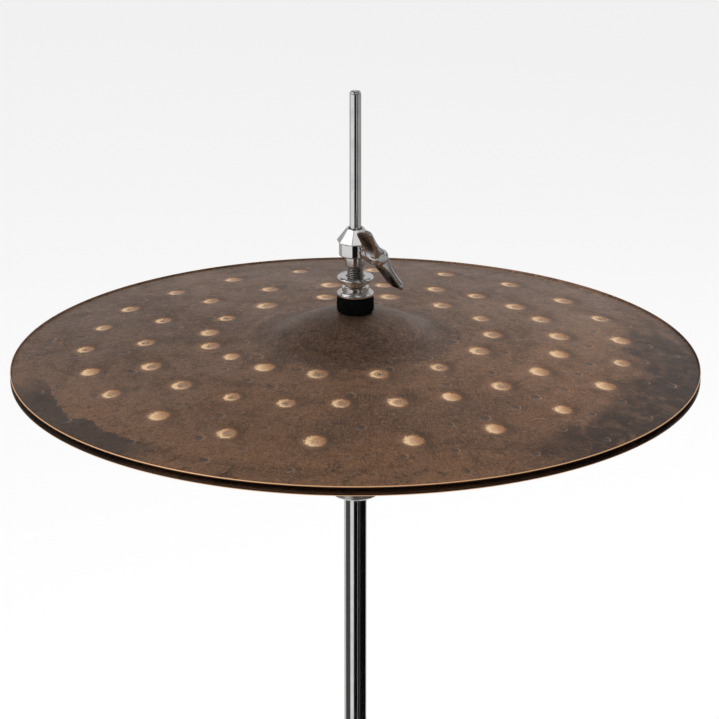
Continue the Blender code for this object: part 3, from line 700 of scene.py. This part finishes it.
# Painted shade beside a hammer mark, on the side away from the painted light.
STRIKE_SHADE = (0.055, 0.031, 0.022)
# A hammer mark's halo: a little lighter bronze all round, and painted much lighter on the lit side as a
# highlight.
STRIKE_HALO_AND_HIGHLIGHT = (0.360, 0.200, 0.115)
STRIKE_ORANGE = (0.620, 0.280, 0.110)
# The cream of the painted highlight on the lit side of a hammer mark's ring.
STRIKE_RING_HIGHLIGHT = (0.940, 0.630, 0.350)
HEART_DARK = (0.170, 0.098, 0.060)
HEART_LIGHT = (0.520, 0.320, 0.180)
PIT = (0.020, 0.012, 0.010)
# Painted shade on the edge beside the gap between the cymbals.
EDGE_GAP_SHADE = (0.030, 0.018, 0.013)
EDGE_COPPER = (0.700, 0.380, 0.180)


def patina_fields(n, seed):
    """The places and the noises that the patina is made of. "turned" runs along the lathe's lines."""
    place = n.coords()
    x, y, z = n.axes(place)
    r = n.radius(x, y)
    angle = n.math("ARCTAN2", y, x)
    around = n.tree.nodes.new("ShaderNodeCombineXYZ")
    n.link(n.mul(r, 5.0), around.inputs[0])
    n.link(n.mul(angle, 0.12), around.inputs[1])
    n.link(float(seed), around.inputs[2])
    cloud = n.noise(place, 11, 6, 0.62, 0.6)
    blotch = n.noise(place, 38, 6, 0.65, 0.4)
    ragged = n.add(n.mul(n.sub(cloud, 0.5), 0.035), n.mul(n.sub(blotch, 0.5), 0.016))
    return {
        **{"x": x, "y": y, "z": z, "r": r, "angle": angle, "cloud": cloud, "blotch": blotch},
        "patch": n.noise(place, 7.5, 4, 0.5, 0.9),
        "mottle": n.noise(place, 85, 6, 0.72, 0.5),
        "speckle": n.noise(place, 210, 5, 0.75, 0.3),
        "grain": n.noise(place, 620, 4, 0.8),
        "fine": n.noise(place, 1250, 3, 0.75),
        "chips": n.mul(n.sub(n.noise(place, 420, 3, 0.6), 0.5), 0.55),
        "lathe": n.noise(around.outputs[0], 130, 2, 0.5),
        "turned": n.noise(around.outputs[0], 42, 3, 0.6),
        "ragged_r": n.add(r, ragged),
    }


def toward(n, f, degrees, full, none):
    """1 near a direction of the cymbal, fading to 0."""
    return n.fade(n.off(f["angle"], math.radians(degrees)), full, none)


def clouded(n, f):
    """The oxide skin: greyer at the back, warmer at the front, in clouds and blotches."""
    front = n.add(n.add(n.mul(f["y"], -2.6), n.mul(f["x"], 0.9)), n.mul(f["cloud"], 0.9))
    colour = n.mix(n.ramp(front, 0.1, 0.95), PATINA_GREY, PATINA_WARM)
    for field, start, full, amount, tone in PATINA_LAYERS:
        colour = n.mix(n.ramp(f[field], start, full, 0, amount), colour, tone)
    return colour


def weathered(n, f, colour):
    """Adds the large areas near the rim. It also gives 1 less the share of dark area."""
    edge, blotch, mottle = f["ragged_r"], f["blotch"], f["mottle"]
    tan = n.mul(toward(n, f, -132, 0.15, 0.62), n.ramp(edge, 0.128, 0.160))
    colour = n.mix(n.mul(tan, 0.62), colour, TAN)
    slate = n.mul(n.ramp(edge, 0.1705, 0.172), toward(n, f, -147, 0.24, 0.44))
    colour = n.mix(n.mul(slate, 0.9), colour, SLATE)
    soot = n.mul(n.ramp(edge, 0.150, 0.168), toward(n, f, -20, 0.42, 0.85))
    soot = n.mul(soot, n.ramp(n.add(blotch, n.mul(edge, 3.6)), 0.90, 1.04))
    soot = n.mul(soot, n.ramp(mottle, 0.36, 0.54, 0.62, 1.0))
    colour = n.mix(n.mul(soot, 0.94), colour, SOOT)
    spots = n.mul(n.ramp(edge, 0.148, 0.176), n.ramp(mottle, 0.54, 0.60))
    colour = n.mix(n.mul(spots, 0.6), colour, SPOT)
    amber = n.mul(toward(n, f, -45, 0.25, 0.8), n.fade(n.off(edge, 0.152), 0.006, 0.030))
    colour = n.mix(n.mul(amber, 0.30), colour, AMBER)
    ochre = n.mul(toward(n, f, -106, 0.05, 0.3), n.fade(n.off(edge, 0.172), 0.002, 0.014))
    colour = n.mix(n.mul(ochre, n.ramp(blotch, 0.6, 0.4, 0, 0.5)), colour, OCHRE)
    dark = n.math("MAXIMUM", n.mul(soot, 0.85), n.mul(slate, 0.7))
    return colour, n.sub(1.0, dark)


def lathed(n, f, colour):
    """Adds painted shade in arcs for the waves left by hammering, the bell's tone, painted shade in the
    crease at the bell's foot, and the lathe's lines. It also gives the bell's share.
    """
    r = f["r"]
    # Painted shade in faint arcs, for the shading of the waves left by hammering.
    wave = n.math("SINE", n.add(n.mul(r, 235), n.mul(f["cloud"], 9)))
    arc_shade = n.mul(n.ramp(wave, 0.45, 0.98), n.ramp(f["blotch"], 0.40, 0.56))
    colour = n.mix(n.mul(arc_shade, 0.34), colour, ARC_SHADE)
    bell = n.fade(r, 0.040, 0.054)
    colour = n.mix(n.mul(bell, 0.40), colour, BELL)
    # Painted shade in the crease at the bell's foot.
    colour = n.mix(n.fade(n.off(r, 0.0515), 0.001, 0.009, 0.62), colour, BELL_FOOT_SHADE)
    near_bell = n.ramp(r, 0.056, 0.074, 1.0, 0.12)
    colour = n.mix(n.mul(near_bell, n.ramp(f["turned"], 0.50, 0.66, 0, 0.62)), colour, TURNED_DARK)
    colour = n.mix(n.mul(near_bell, n.ramp(f["turned"], 0.46, 0.32, 0, 0.45)), colour, TURNED_LIGHT)
    streak = n.mul(n.ramp(f["lathe"], 0.35, 0.65), n.add(n.mul(bell, 0.55), 0.16))
    return n.mix(streak, colour, STREAK), bell


def grained(n, f, colour, light_share):
    """Adds speckles and grain. The light ones show by light_share."""
    for field, start, full, amount, tone, is_light in GRAIN_LAYERS:
        shown = n.ramp(f[field], start, full, 0, amount)
        if is_light:
            shown = n.mul(light_share, shown)
        colour = n.mix(shown, colour, tone)
    return colour


def dented(n, f, colour):
    """Adds the small dents, each a dull floor with a painted highlight along its lip on one side. It also
    gives the distance to the nearest.
    """
    dent = n.add(n.attribute("dent"), f["chips"])
    shown = n.attribute("dent_power")
    colour = n.mix(n.mul(n.fade(dent, 0.55, 1.0, 0.75), shown), colour, DENT_FLOOR)
    # A painted highlight along the lip of each dent, only on the side away from the painted light, where its
    # wall faces that light.
    lip_highlight = n.mul(n.fade(n.off(dent, 1.12), 0.04, 0.26, 0.75), shown)
    lip_highlight = n.mul(lip_highlight, n.fade(n.attribute("dent_light_side"), -0.9, 0.3))
    return n.mix(lip_highlight, colour, DENT_LIP_HIGHLIGHT), dent


def struck(n, f, colour):
    """Adds the hammer marks: rings of bare bronze, with painted light and shade laid out by the side of each
    mark. There is painted shade beside the mark on the far side, and a halo and a cream highlight painted on
    the lit side. The mark's heart is set away from the lit side. It also gives the distance to the nearest,
    and the share of the worn ring, which is painted stronger on the lit side.
    """
    ragged = n.add(n.mul(f["chips"], 0.8), n.mul(n.sub(f["fine"], 0.5), 1.5))
    strike = n.add(n.attribute("strike"), ragged)
    # The side of the mark towards the painted light, positive on the lit side.
    side = n.attribute("strike_light_side")
    power = n.attribute("strike_power")
    # Painted shade beside the mark, on the side away from the painted light.
    shade = n.mul(n.fade(strike, 1.1, 2.6), n.ramp(side, 0.2, -1.6, 0.0, 0.6))
    colour = n.mix(shade, colour, STRIKE_SHADE)
    # The halo round the mark: faint all round, and a painted highlight on the lit side.
    glow = n.mul(n.fade(strike, 0.95, 1.9), n.ramp(side, -1.3, 1.2, 0.22, 0.85))
    colour = n.mix(glow, colour, STRIKE_HALO_AND_HIGHLIGHT)
    # The worn ring of bare bronze, painted stronger and turning cream on the lit side as a painted highlight.
    ring = n.mul(n.fade(strike, 0.88, 1.14), n.ramp(side, -1.2, 0.2, 0.60, 1.0))
    colour = n.mix(ring, colour, n.mix(n.ramp(side, -0.8, 0.8), STRIKE_ORANGE, STRIKE_RING_HIGHLIGHT))
    # The heart is set away from the lit side, so the ring is painted wider and lighter there.
    heart = n.fade(n.add(strike, n.mul(side, 0.24)), 0.40, 0.86)
    worn_less = n.ramp(f["y"], 0.10, -0.10, 0.95, 0.15)
    worn_less = n.math("MAXIMUM", worn_less, n.ramp(power, 0.35, 0.75, 0.35, 0.97))
    heart_tone = n.mix(n.ramp(f["fine"], 0.4, 0.6), HEART_DARK, HEART_LIGHT)
    colour = n.mix(n.mul(heart, worn_less), colour, heart_tone)
    pit = n.mul(n.fade(strike, 0.10, 0.22, 0.9), n.ramp(power, 0.82, 0.86))
    return n.mix(pit, colour, PIT), strike, ring


def bronze(name, seed):
    """Dark patina over bronze, worn bright where the hammer struck and along the edge. It has painted light
    and shade round the hammer marks, and painted shade on the edge beside the gap between the cymbals.
    """
    n = Nodes(name)
    f = patina_fields(n, seed)
    colour, kept = weathered(n, f, clouded(n, f))
    colour, bell = lathed(n, f, colour)
    colour = grained(n, f, colour, n.mul(kept, n.sub(1.0, n.mul(bell, 0.75))))
    colour, dent = dented(n, f, colour)
    colour, strike, ring = struck(n, f, colour)

    at_edge = n.ramp(f["r"], CYMBAL_R - 0.42 * MM, CYMBAL_R - 0.25 * MM)
    rim = n.mul(at_edge, n.ramp(n.off(f["z"], 0.0), 0.60 * MM, 0.75 * MM))
    # Painted shade over the outer edge, kept on the side facing the gap between the cymbals; the copper rim
    # is laid over it on the other side.
    colour = n.mix(at_edge, colour, EDGE_GAP_SHADE)
    colour = n.mix(rim, colour, EDGE_COPPER)
    rough = n.ramp(n.add(n.mul(f["grain"], 0.4), n.mul(f["blotch"], 0.6)), 0.3, 0.7, 0.38, 0.55)
    rough = n.add(rough, n.mul(n.math("MAXIMUM", ring, rim), -0.06))
    bowl = n.add(n.ramp(strike, 0.5, 1.15), n.mul(n.ramp(dent, 0.4, 1.1), 0.5))
    relief = n.add(n.mul(f["grain"], 0.20), n.mul(f["lathe"], 0.12))
    n.bump(n.add(relief, n.add(n.mul(bowl, 0.3), n.mul(f["speckle"], 0.20))), 0.6, 0.0010)
    metal = n.sub(0.75, n.add(n.mul(ring, 0.38), n.mul(rim, 0.55)))
    return n.set(Base_Color=colour, Metallic=metal, Roughness=rough)


def make_cymbals():
    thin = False
    for name, up, rim_z, seed, body in (
        ("top_cymbal", 1, RIM_Z, 1, "upper_hat"),
        ("bottom_cymbal", -1, BOTTOM_RIM_Z, 40, "lower_hat"),
    ):
        mesh = cymbal_mesh(name + "_bronze", up, seed, thin)
        patina = bronze(name + "_patina", seed)
        piece = new_piece(name + "_bronze", mesh, body, [name], patina, 60)
        piece.location.z = rim_z


# Mesh pieces ------------------------------


def body_of(node):
    return frame["nodes"][node]["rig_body"]


def flat_sided(piece):
    """Shades a piece by its large faces, so that only its rounded edges curve."""
    normals = piece.modifiers.new("face_normals", "WEIGHTED_NORMAL")
    normals.keep_sharp = True


def lathe(name, node, profile, material, steps=96, sharp=40, radius=0.0):
    """A turned piece in place of a CAD node. The outline is (radius, height) in millimetres, in the world."""
    mesh = revolve(name, mm(fillet(profile, radius, 3)), steps)
    flat_sided(new_piece(name, mesh, body_of(node), [node], material, sharp))


def bar(name, node, material, chamfer=0.5, bore=0.0):
    """A round bar or tube in place of a CAD node, of the node's own width and length."""
    low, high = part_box(node)
    r = max(high.x - low.x, high.y - low.y) / 2 / MM
    top, bottom = high.z / MM, low.z / MM
    if bore:
        outline = [(bore, top, 0), (r, top), (r, bottom), (bore, bottom, 0)]
    else:
        outline = [(0, top), (r, top), (r, bottom), (0, bottom)]
    lathe(name, node, outline, material, radius=chamfer)


def polish(node, material, width):
    """A copy of a CAD node with its edges rounded, in place of the node."""
    mesh = frame["nodes"][node].data.copy()
    mesh.materials.clear()
    shape = bmesh.new()
    shape.from_mesh(mesh)
    bmesh.ops.remove_doubles(shape, verts=shape.verts, dist=0.000002)
    bmesh.ops.dissolve_limit(shape, angle_limit=math.radians(1), verts=shape.verts, edges=shape.edges)
    shape.to_mesh(mesh)
    shape.free()
    mesh.name = node + "_finished"
    piece = new_piece(node + "_finished", mesh, body_of(node), [node], material)
    bevel = piece.modifiers.new("round_edges", "BEVEL")
    bevel.width = width * MM
    bevel.segments = 3
    bevel.limit_method = "ANGLE"
    bevel.angle_limit = math.radians(38)
    bevel.harden_normals = True


# Clutch -----------------------------------

RIM_MM = RIM_Z / MM
CONE_TOP = 78.5
LIP = 70.7
BODY_LOW = 62.9
NECK_LOW = 56.2
UPPER_NUT = (45.5, 51.0)
LOWER_NUT = (39.4, 45.2)
NECK_R = 5.7
SLEEVE_LOW = 6.0
SLEEVE_R = 4.6
SLEEVE_BORE = 3.6
THREAD_PITCH = 1.0
OCTAGON_CORNER = math.radians(214)
# How far the felts' loose fibres reach past them, and half a fibre's width at its root.
FIBRE_REACH = 0.35
FIBRE_HALF = 0.035
# The wing screws' width over both wings, and how finely they are built.
WING_SPAN = 46
WING_STEPS = 120
WING_AROUND = 88


def octagon(r, angle, z):
    """The cone of the clutch is cut to eight flats that meet the round body in a lip."""
    height = z / MM - RIM_MM
    if height < LIP - 0.2 or r < 5.2 * MM:
        return r, z
    share = min((r / MM - 4.7) / 4.0, 1.0)
    side = (angle - OCTAGON_CORNER) % (TAU / 8) - TAU / 16
    flat = math.cos(TAU / 16) / math.cos(side)
    return r * (1 + (flat * 1.035 - 1) * share), z


def make_clutch_body(material):
    up = RIM_MM
    profile = [
        (SLEEVE_BORE, up + CONE_TOP - 2.0, 0),
        (3.75, up + CONE_TOP - 0.3, 0.2),
        (4.6, up + CONE_TOP, 0.25),
        (5.25, up + CONE_TOP - 0.75, 0),
        (9.95, up + LIP + 0.45, 0.15),
        (9.95, up + LIP, 0.1),
        (9.0, up + LIP - 0.35, 0.1),
        (9.0, up + BODY_LOW, 0.7),
        (NECK_R + 0.2, up + BODY_LOW - 0.1, 0.1),
        (NECK_R, up + BODY_LOW - 0.6, 0.1),
        (NECK_R, up + NECK_LOW + 1.2, 0.3),
        (NECK_R - 0.9, up + NECK_LOW, 0.2),
        (4.0, up + NECK_LOW, 0),
        (SLEEVE_BORE, up + NECK_LOW - 1, 0),
    ]
    outline = fillet(profile, 0.2, 4)
    mesh = revolve("clutch_head", mm(outline), 192, octagon, phase=OCTAGON_CORNER)
    flat_sided(new_piece("clutch_head", mesh, "clutch", ["clutch_body"], material, 28))


def make_thread(material):
    """The sleeve below the head, with a real helical thread."""
    up = RIM_MM
    rows = 340
    top, low = up + NECK_LOW + 0.2, up + SLEEVE_LOW
    outside = [(SLEEVE_R, top + (low - top) * k / rows) for k in range(rows + 1)]
    profile = [(SLEEVE_BORE, top)] + outside + [(SLEEVE_BORE, low)]

    def helix(r, angle, z):
        if r < (SLEEVE_BORE + 0.5) * MM:
            return r, z
        turn = (z / MM / THREAD_PITCH - angle / TAU) % 1.0
        crest = abs(turn * 2 - 1)
        return (SLEEVE_R - 0.55 + 0.55 * min(crest * 1.25, 1.0)) * MM, z

    mesh = revolve("clutch_thread", mm(profile), 48, helix)
    new_piece("clutch_thread", mesh, "clutch", [], material, 60)


def nut_outline(low, top, flange_on_top):
    """A round lock nut with a rounded flange, as heights above the rim, listed from the flange's face."""
    bore, boss, flange = 5.3, 7.5, 10.1
    face, far = (top, low) if flange_on_top else (low, top)
    inwards = -1 if flange_on_top else 1
    points = [(4.85, face + 1.1 * inwards, 0), (bore, face, 0.1)]
    if flange_on_top:
        points += [(8.1, face, 0.05), (8.25, face - 0.16, 0.05), (8.4, face, 0.05)]
    points += [(flange - 0.9, face, 0.4), (flange, face + 0.75 * inwards, 0.6)]
    points += [(flange, face + 1.9 * inwards, 0.35), (flange - 0.5, face + 2.4 * inwards, 0.1)]
    if flange_on_top:
        points += [(boss + 0.9, face - 2.7, 0.15), (boss, face - 3.0, 0.2), (boss, far + 1.2, 0.2)]
        points += [(5.6, far + 0.9, 0), (5.6, far, 0)]
    else:
        points += [(flange - 0.75, face + 2.25, 0.05), (flange - 0.95, face + 2.7, 0.1)]
        points += [(flange - 1.55, face + 2.85, 0.05), (flange - 1.7, face + 2.6, 0.05)]
        points += [(flange - 1.85, face + 3.3, 0.1), (boss + 0.3, face + 3.45, 0.05)]
        points += [(boss, face + 3.2, 0.05), (boss - 0.1, far - 0.5, 0.2), (boss - 0.8, far, 0.2)]
        points += [(boss - 1.6, far - 0.5, 0.1), (boss - 1.9, far, 0.05)]
    points += [(4.85, far, 0)]
    return [(p[0], p[1] + RIM_MM, p[2]) for p in points]


def heights(node):
    """The lowest and the highest point of a node, in millimetres."""
    low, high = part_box(node)
    return low.z / MM, high.z / MM


def loose_fibres(rng, r, low, top):
    """Thin slivers that stand off the side of a felt, each as two root points, a third one and its tip."""
    count = 1500
    angle = rng.uniform(0, TAU, count)
    height = rng.uniform(low + 0.3, top - 0.3, count) * MM
    root_r = (r - 0.5) * MM
    roots = np.stack([root_r * np.cos(angle), root_r * np.sin(angle), height], 1)
    out = np.stack([np.cos(angle), np.sin(angle), np.zeros(count)], 1)
    lean = out + rng.normal(0, 0.9, (count, 3))
    lean /= np.linalg.norm(lean, axis=1)[:, None]
    tips = roots + lean * rng.uniform(0.4, 1.1, (count, 1)) * MM
    over = np.maximum(np.hypot(tips[:, 0], tips[:, 1]) - (r + FIBRE_REACH) * MM, 0)[:, None]
    tips -= out * over
    tips[:, 2] = np.clip(tips[:, 2], low * MM, top * MM)
    aside = np.cross(lean, [0, 0, 1.0])
    aside /= np.linalg.norm(aside, axis=1)[:, None] + 1e-9
    half = FIBRE_HALF * MM
    above = np.array([0, 0, half * 1.6])
    return np.stack([roots + aside * half, roots - aside * half, roots + above, tips], 1)


def make_felt(name, node, r, bore, material, seed):
    """A pressed felt ring with soft uneven sides and loose fibres standing off it."""
    low, top = heights(node)
    rows = 14
    side = []
    for k in range(1, rows):
        share = k / rows
        bulge = 0.55 * math.sin(math.pi * share) ** 0.6
        side.append((r - 0.75 + bulge, top + (low - top) * share, 0))
    profile = [(bore, top, 0), (r - 1.6, top, 0.4)] + side + [(r - 1.2, low, 0.4), (bore, low, 0)]

    def fuzz(point_r, angle, z):
        if point_r < (r - 2.5) * MM:
            return point_r, z
        wave = math.sin(angle * 9 + seed + z * 900) + math.sin(angle * 23 - z * 2300 + seed)
        return point_r + 0.09 * MM * wave, z

    mesh = revolve(name, mm(fillet(profile, 0.3, 2)), 120, fuzz)
    shape = bmesh.new()
    shape.from_mesh(mesh)
    for corners in loose_fibres(np.random.default_rng(seed), r, low, top).tolist():
        a, b, c, tip = (shape.verts.new(p) for p in corners)
        for face in ((a, b, tip), (b, c, tip), (c, a, tip), (a, c, b)):
            shape.faces.new(face)
    shape.to_mesh(mesh)
    shape.free()
    piece = new_piece(name, mesh, body_of(node), [node], material, 180)
    return piece


def loft(rings):
    """A closed skin over rings of points, with its ends closed."""
    shape = bmesh.new()
    rows = [[shape.verts.new(p) for p in ring] for ring in rings]
    count = len(rows[0])
    for a, b in zip(rows, rows[1:]):
        for k in range(count):
            j = (k + 1) % count
            shape.faces.new((a[k], a[j], b[j], b[k]))
    shape.faces.new(rows[0][::-1])
    shape.faces.new(rows[-1])
    bmesh.ops.recalc_face_normals(shape, faces=shape.faces)
    return shape


def wing_ring(s, shank, reach):
    """A section of the wings at s, from -1 to 1 along their span: its points, and their place in the dish."""
    away = abs(s)
    upper = 0.5 + 0.5 * math.tanh(s * 6)
    lower = 1 - upper
    from_hub = min(away / 0.4, 1)
    end = math.sqrt(max(1 - max((away - 0.76) / 0.24, 0) ** 2.3, 0.0009))
    thick = (1.75 + 3.3 * math.exp(-((away / 0.30) ** 2)) + 0.5 * away**2) * max(end, 0.35)
    edge = reach - 2.2 + 3.0 * away**1.5
    wide = 5.0 + (0.8 * upper + 0.3 * lower) * from_hub
    wide = min(wide, (edge - shank - 0.8) / 2) * end
    centre = edge - wide - (1 - end) * 1.2
    twist = math.radians(-5 * upper - 4 * lower) * from_hub
    window = math.exp(-(((away - 0.56) / 0.37) ** 6))
    dish = (1.2 + 0.4 * away) * window * end
    height = WING_SPAN / 2 * s * (0.92 if s > 0 else 1.0)
    ring, recess = [], []
    for k in range(WING_AROUND):
        t = TAU * k / WING_AROUND
        c, d = math.cos(t), math.sin(t)
        out = math.copysign(abs(c) ** 0.6, c)
        across = math.copysign(abs(d) ** 0.5, d)
        inside = math.exp(-((out / 0.76) ** 8))
        u, v = wide * out, thick * across - dish * inside * across
        x = centre + u * math.cos(twist) + v * math.sin(twist)
        y = v * math.cos(twist) - u * math.sin(twist) + 0.5 * math.copysign(away, s)
        ring.append((x * MM, y * MM, height * MM))
        recess.append(inside * window * min(abs(d) * 2, 1))
    return ring, recess


def wing_hub(name, shank, reach, hub_r):
    """The turned hub and stem between the wings, along local X."""
    tip = reach - 1.6
    dome = [(0, tip), (2.8, tip - 0.15), (hub_r - 0.8, tip - 0.9), (hub_r, tip - 2.4)]
    dome += [(hub_r, reach - 7.4), (hub_r - 0.5, reach - 8.4), (hub_r - 0.2, reach - 9.2)]
    dome += [(hub_r - 0.4, reach - 10.6), (hub_r - 0.9, shank + 0.8), (hub_r - 1.4, shank)]
    dome += [(2.5, shank), (2.35, shank - 0.5), (2.35, 0.6), (1.7, 0), (0, 0)]
    hub = revolve(name, mm(fillet(dome, 0.5, 4)), 64)
    hub.transform(Matrix.Rotation(math.pi / 2, 4, "Y"))
    return hub


def wing_screw(node, start, height, azimuth, roll, shank, reach, hub_r, material):
    """A cast wing screw: stem, hub and two dished wings. Its axis is local X and its wings lie along Z.

    It starts at a distance from the rod's axis, at a height and an azimuth, and is rolled about its axis.
    """
    sections = [wing_ring(-1 + 2 * i / WING_STEPS, shank, reach) for i in range(WING_STEPS + 1)]
    wings = loft([ring for ring, recess in sections])
    mesh = bpy.data.meshes.new(node + "_cast")
    wings.to_mesh(mesh)
    wings.free()
    recess = [value for ring, recess in sections for value in recess]
    mesh.attributes.new(HOLLOW_VALUE, "FLOAT", "POINT").data.foreach_set("value", recess)
    hub = wing_hub(node + "_hub", shank, reach, hub_r)
    joined = bmesh.new()
    joined.from_mesh(mesh)
    joined.from_mesh(hub)
    joined.to_mesh(mesh)
    joined.free()
    bpy.data.meshes.remove(hub)
    at = (start * math.cos(azimuth), start * math.sin(azimuth), height)
    turn = Matrix.Rotation(azimuth, 4, "Z") @ Matrix.Rotation(roll, 4, "X")
    mesh.transform(Matrix.Translation(Vector(at) * MM) @ turn)
    new_piece(node + "_cast", mesh, body_of(node), [node], material, 50)


def make_clutch(shiny, soft):
    make_clutch_body(shiny)
    make_thread(thread_steel("thread_steel"))
    lathe("lock_nut_upper", "clutch_lock_nut_upper", nut_outline(*UPPER_NUT, True), shiny, 128)
    lathe("lock_nut_lower", "clutch_lock_nut_lower", nut_outline(*LOWER_NUT, False), shiny, 128)
    make_felt("felt_washer_upper", "clutch_felt_upper", 10.4, 5.0, soft, 3)
    make_felt("felt_washer_lower", "clutch_felt_lower", 9.6, 5.0, soft, 4)
    low, top = heights("clutch_bottom_nut")
    outline = [(4.85, top), (9.0, top), (9.5, top - 0.6)]
    outline += [(9.5, low + 4), (8.0, low + 3), (7.5, low), (4.85, low)]
    lathe("bottom_nut_turned", "clutch_bottom_nut", outline, shiny, 96, 40, 0.35)
    height, cast = RIM_MM + (LIP + BODY_LOW) / 2, wing_chrome("clutch_wing_chrome")
    azimuth, roll = math.radians(-54), math.radians(34)
    wing_screw("clutch_wing_screw", 3.875, height, azimuth, roll, 6.7, 23.2, 5.2, cast)


# Seat, rod and tubes ----------------------


def make_seat_and_tubes(bright, shiny, satin, soft):
    bar("rod_polished", "pull_rod", bright, chamfer=2.4)
    bar("upper_tube_polished", "upper_tube", shiny, 0.4, bore=4.5)
    bar("lower_tube_polished", "lower_tube", shiny, 0.5, bore=9.6)
    low, top = heights("seat_cup")
    hub, disc = 13.3, 21.0
    outline = [(6.6, low, 0), (hub - 1.0, low, 0.1), (hub, low + 1.0, 0.15), (hub, top - 8.6, 1.0)]
    outline += [(disc - 1.2, top - 7.0, 0.5), (disc, top - 6.0, 0.6)]
    outline += [(disc, top - 1.0, 0.8), (disc - 1.0, top, 0.5), (5.9, top, 0.2), (5.9, top - 6.3, 0)]
    outline += [(4.4, top - 6.3, 0), (4.4, top - 13.7, 0), (6.6, top - 13.7, 0)]
    lathe("seat_cup_turned", "seat_cup", outline, satin, 128, 30)
    make_felt("felt_washer_seat", "seat_felt", 16.0, 6.2, soft, 5)
    bar("lower_rod_turned", "lower_rod", satin, 0.5)
    bar("rod_coupler_turned", "rod_coupler", satin, 0.8, bore=3.7)


# Spring and wing screws of the stand ------


def make_spring(material):
    """The return spring, between the spring seat and the rod's coupler, its end coils closed up."""
    low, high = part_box("return_spring")
    wire = 0.8 * MM
    coil_r = high.x - wire
    turns, per_turn, around = 7, 40, 12
    count = turns * per_turn
    end_coil = 1 / turns
    closed = 2.2 * wire
    open_height = high.z - low.z - 2 * wire - 2 * closed
    rings = []
    for i in range(count + 1):
        share = i / count
        free = min(max((share - end_coil) / (1 - 2 * end_coil), 0), 1)
        z = low.z + wire + closed * min(share / end_coil, 1)
        z += open_height * free + closed * max((share - 1 + end_coil) / end_coil, 0)
        angle = TAU * turns * share
        ring = []
        for k in range(around):
            t = TAU * k / around
            r = coil_r + wire * math.cos(t)
            ring.append((r * math.cos(angle), r * math.sin(angle), z + wire * math.sin(t)))
        rings.append(ring)
    coil = loft(rings)
    mesh = bpy.data.meshes.new("spring_wire")
    coil.to_mesh(mesh)
    coil.free()
    piece = new_piece("spring_wire", mesh, None, ["return_spring"], material, 60)
    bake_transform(piece)


def make_stand_screws(material):
    roll = math.radians(-20)
    wing_screw("height_wing_screw", 10.2, 553, 0, roll, 15.3, 27, 5.6, material)
    azimuth, roll = math.radians(30), math.radians(25)
    wing_screw("hub_wing_screw", 11.7, 408, azimuth, roll, 13.9, 25.5, 5.6, material)


# Everything else --------------------------


# How wide the rounded edges of the copied nodes are, in millimetres.
EDGE = 0.45
WIDER_EDGE = {"base_casting": 2.2, "footboard": 1.3, "heel_plate": 1.3, "leg_hub": 0.9, "brace_collar": 0.9}


def make_rest(looks):
    """The remaining CAD nodes with their edges rounded, each in its slot's finish."""
    for node in sorted(frame["nodes"]):
        if not frame["nodes"][node].hide_render:
            polish(node, looks[SLOTS[node]], WIDER_EDGE.get(node, EDGE))


make_camera()
make_stage()
make_cymbals()
LOOKS = {
    "chrome": chrome("chrome_plate"),
    "nickel": nickel("satin_nickel"),
    "cast": cast_metal("cast_satin"),
    "felt": felt("black_felt"),
    "nylon": moulded("nylon_moulding", (0.02, 0.02, 0.021), 0.45),
    "rubber": moulded("rubber_moulding", (0.012, 0.012, 0.0125), 0.75),
}
make_clutch(LOOKS["chrome"], LOOKS["felt"])
make_seat_and_tubes(chrome("rod_chrome"), LOOKS["chrome"], LOOKS["nickel"], LOOKS["felt"])
make_spring(LOOKS["nickel"])
make_stand_screws(wing_chrome("stand_wing_chrome"))
make_rest(LOOKS)
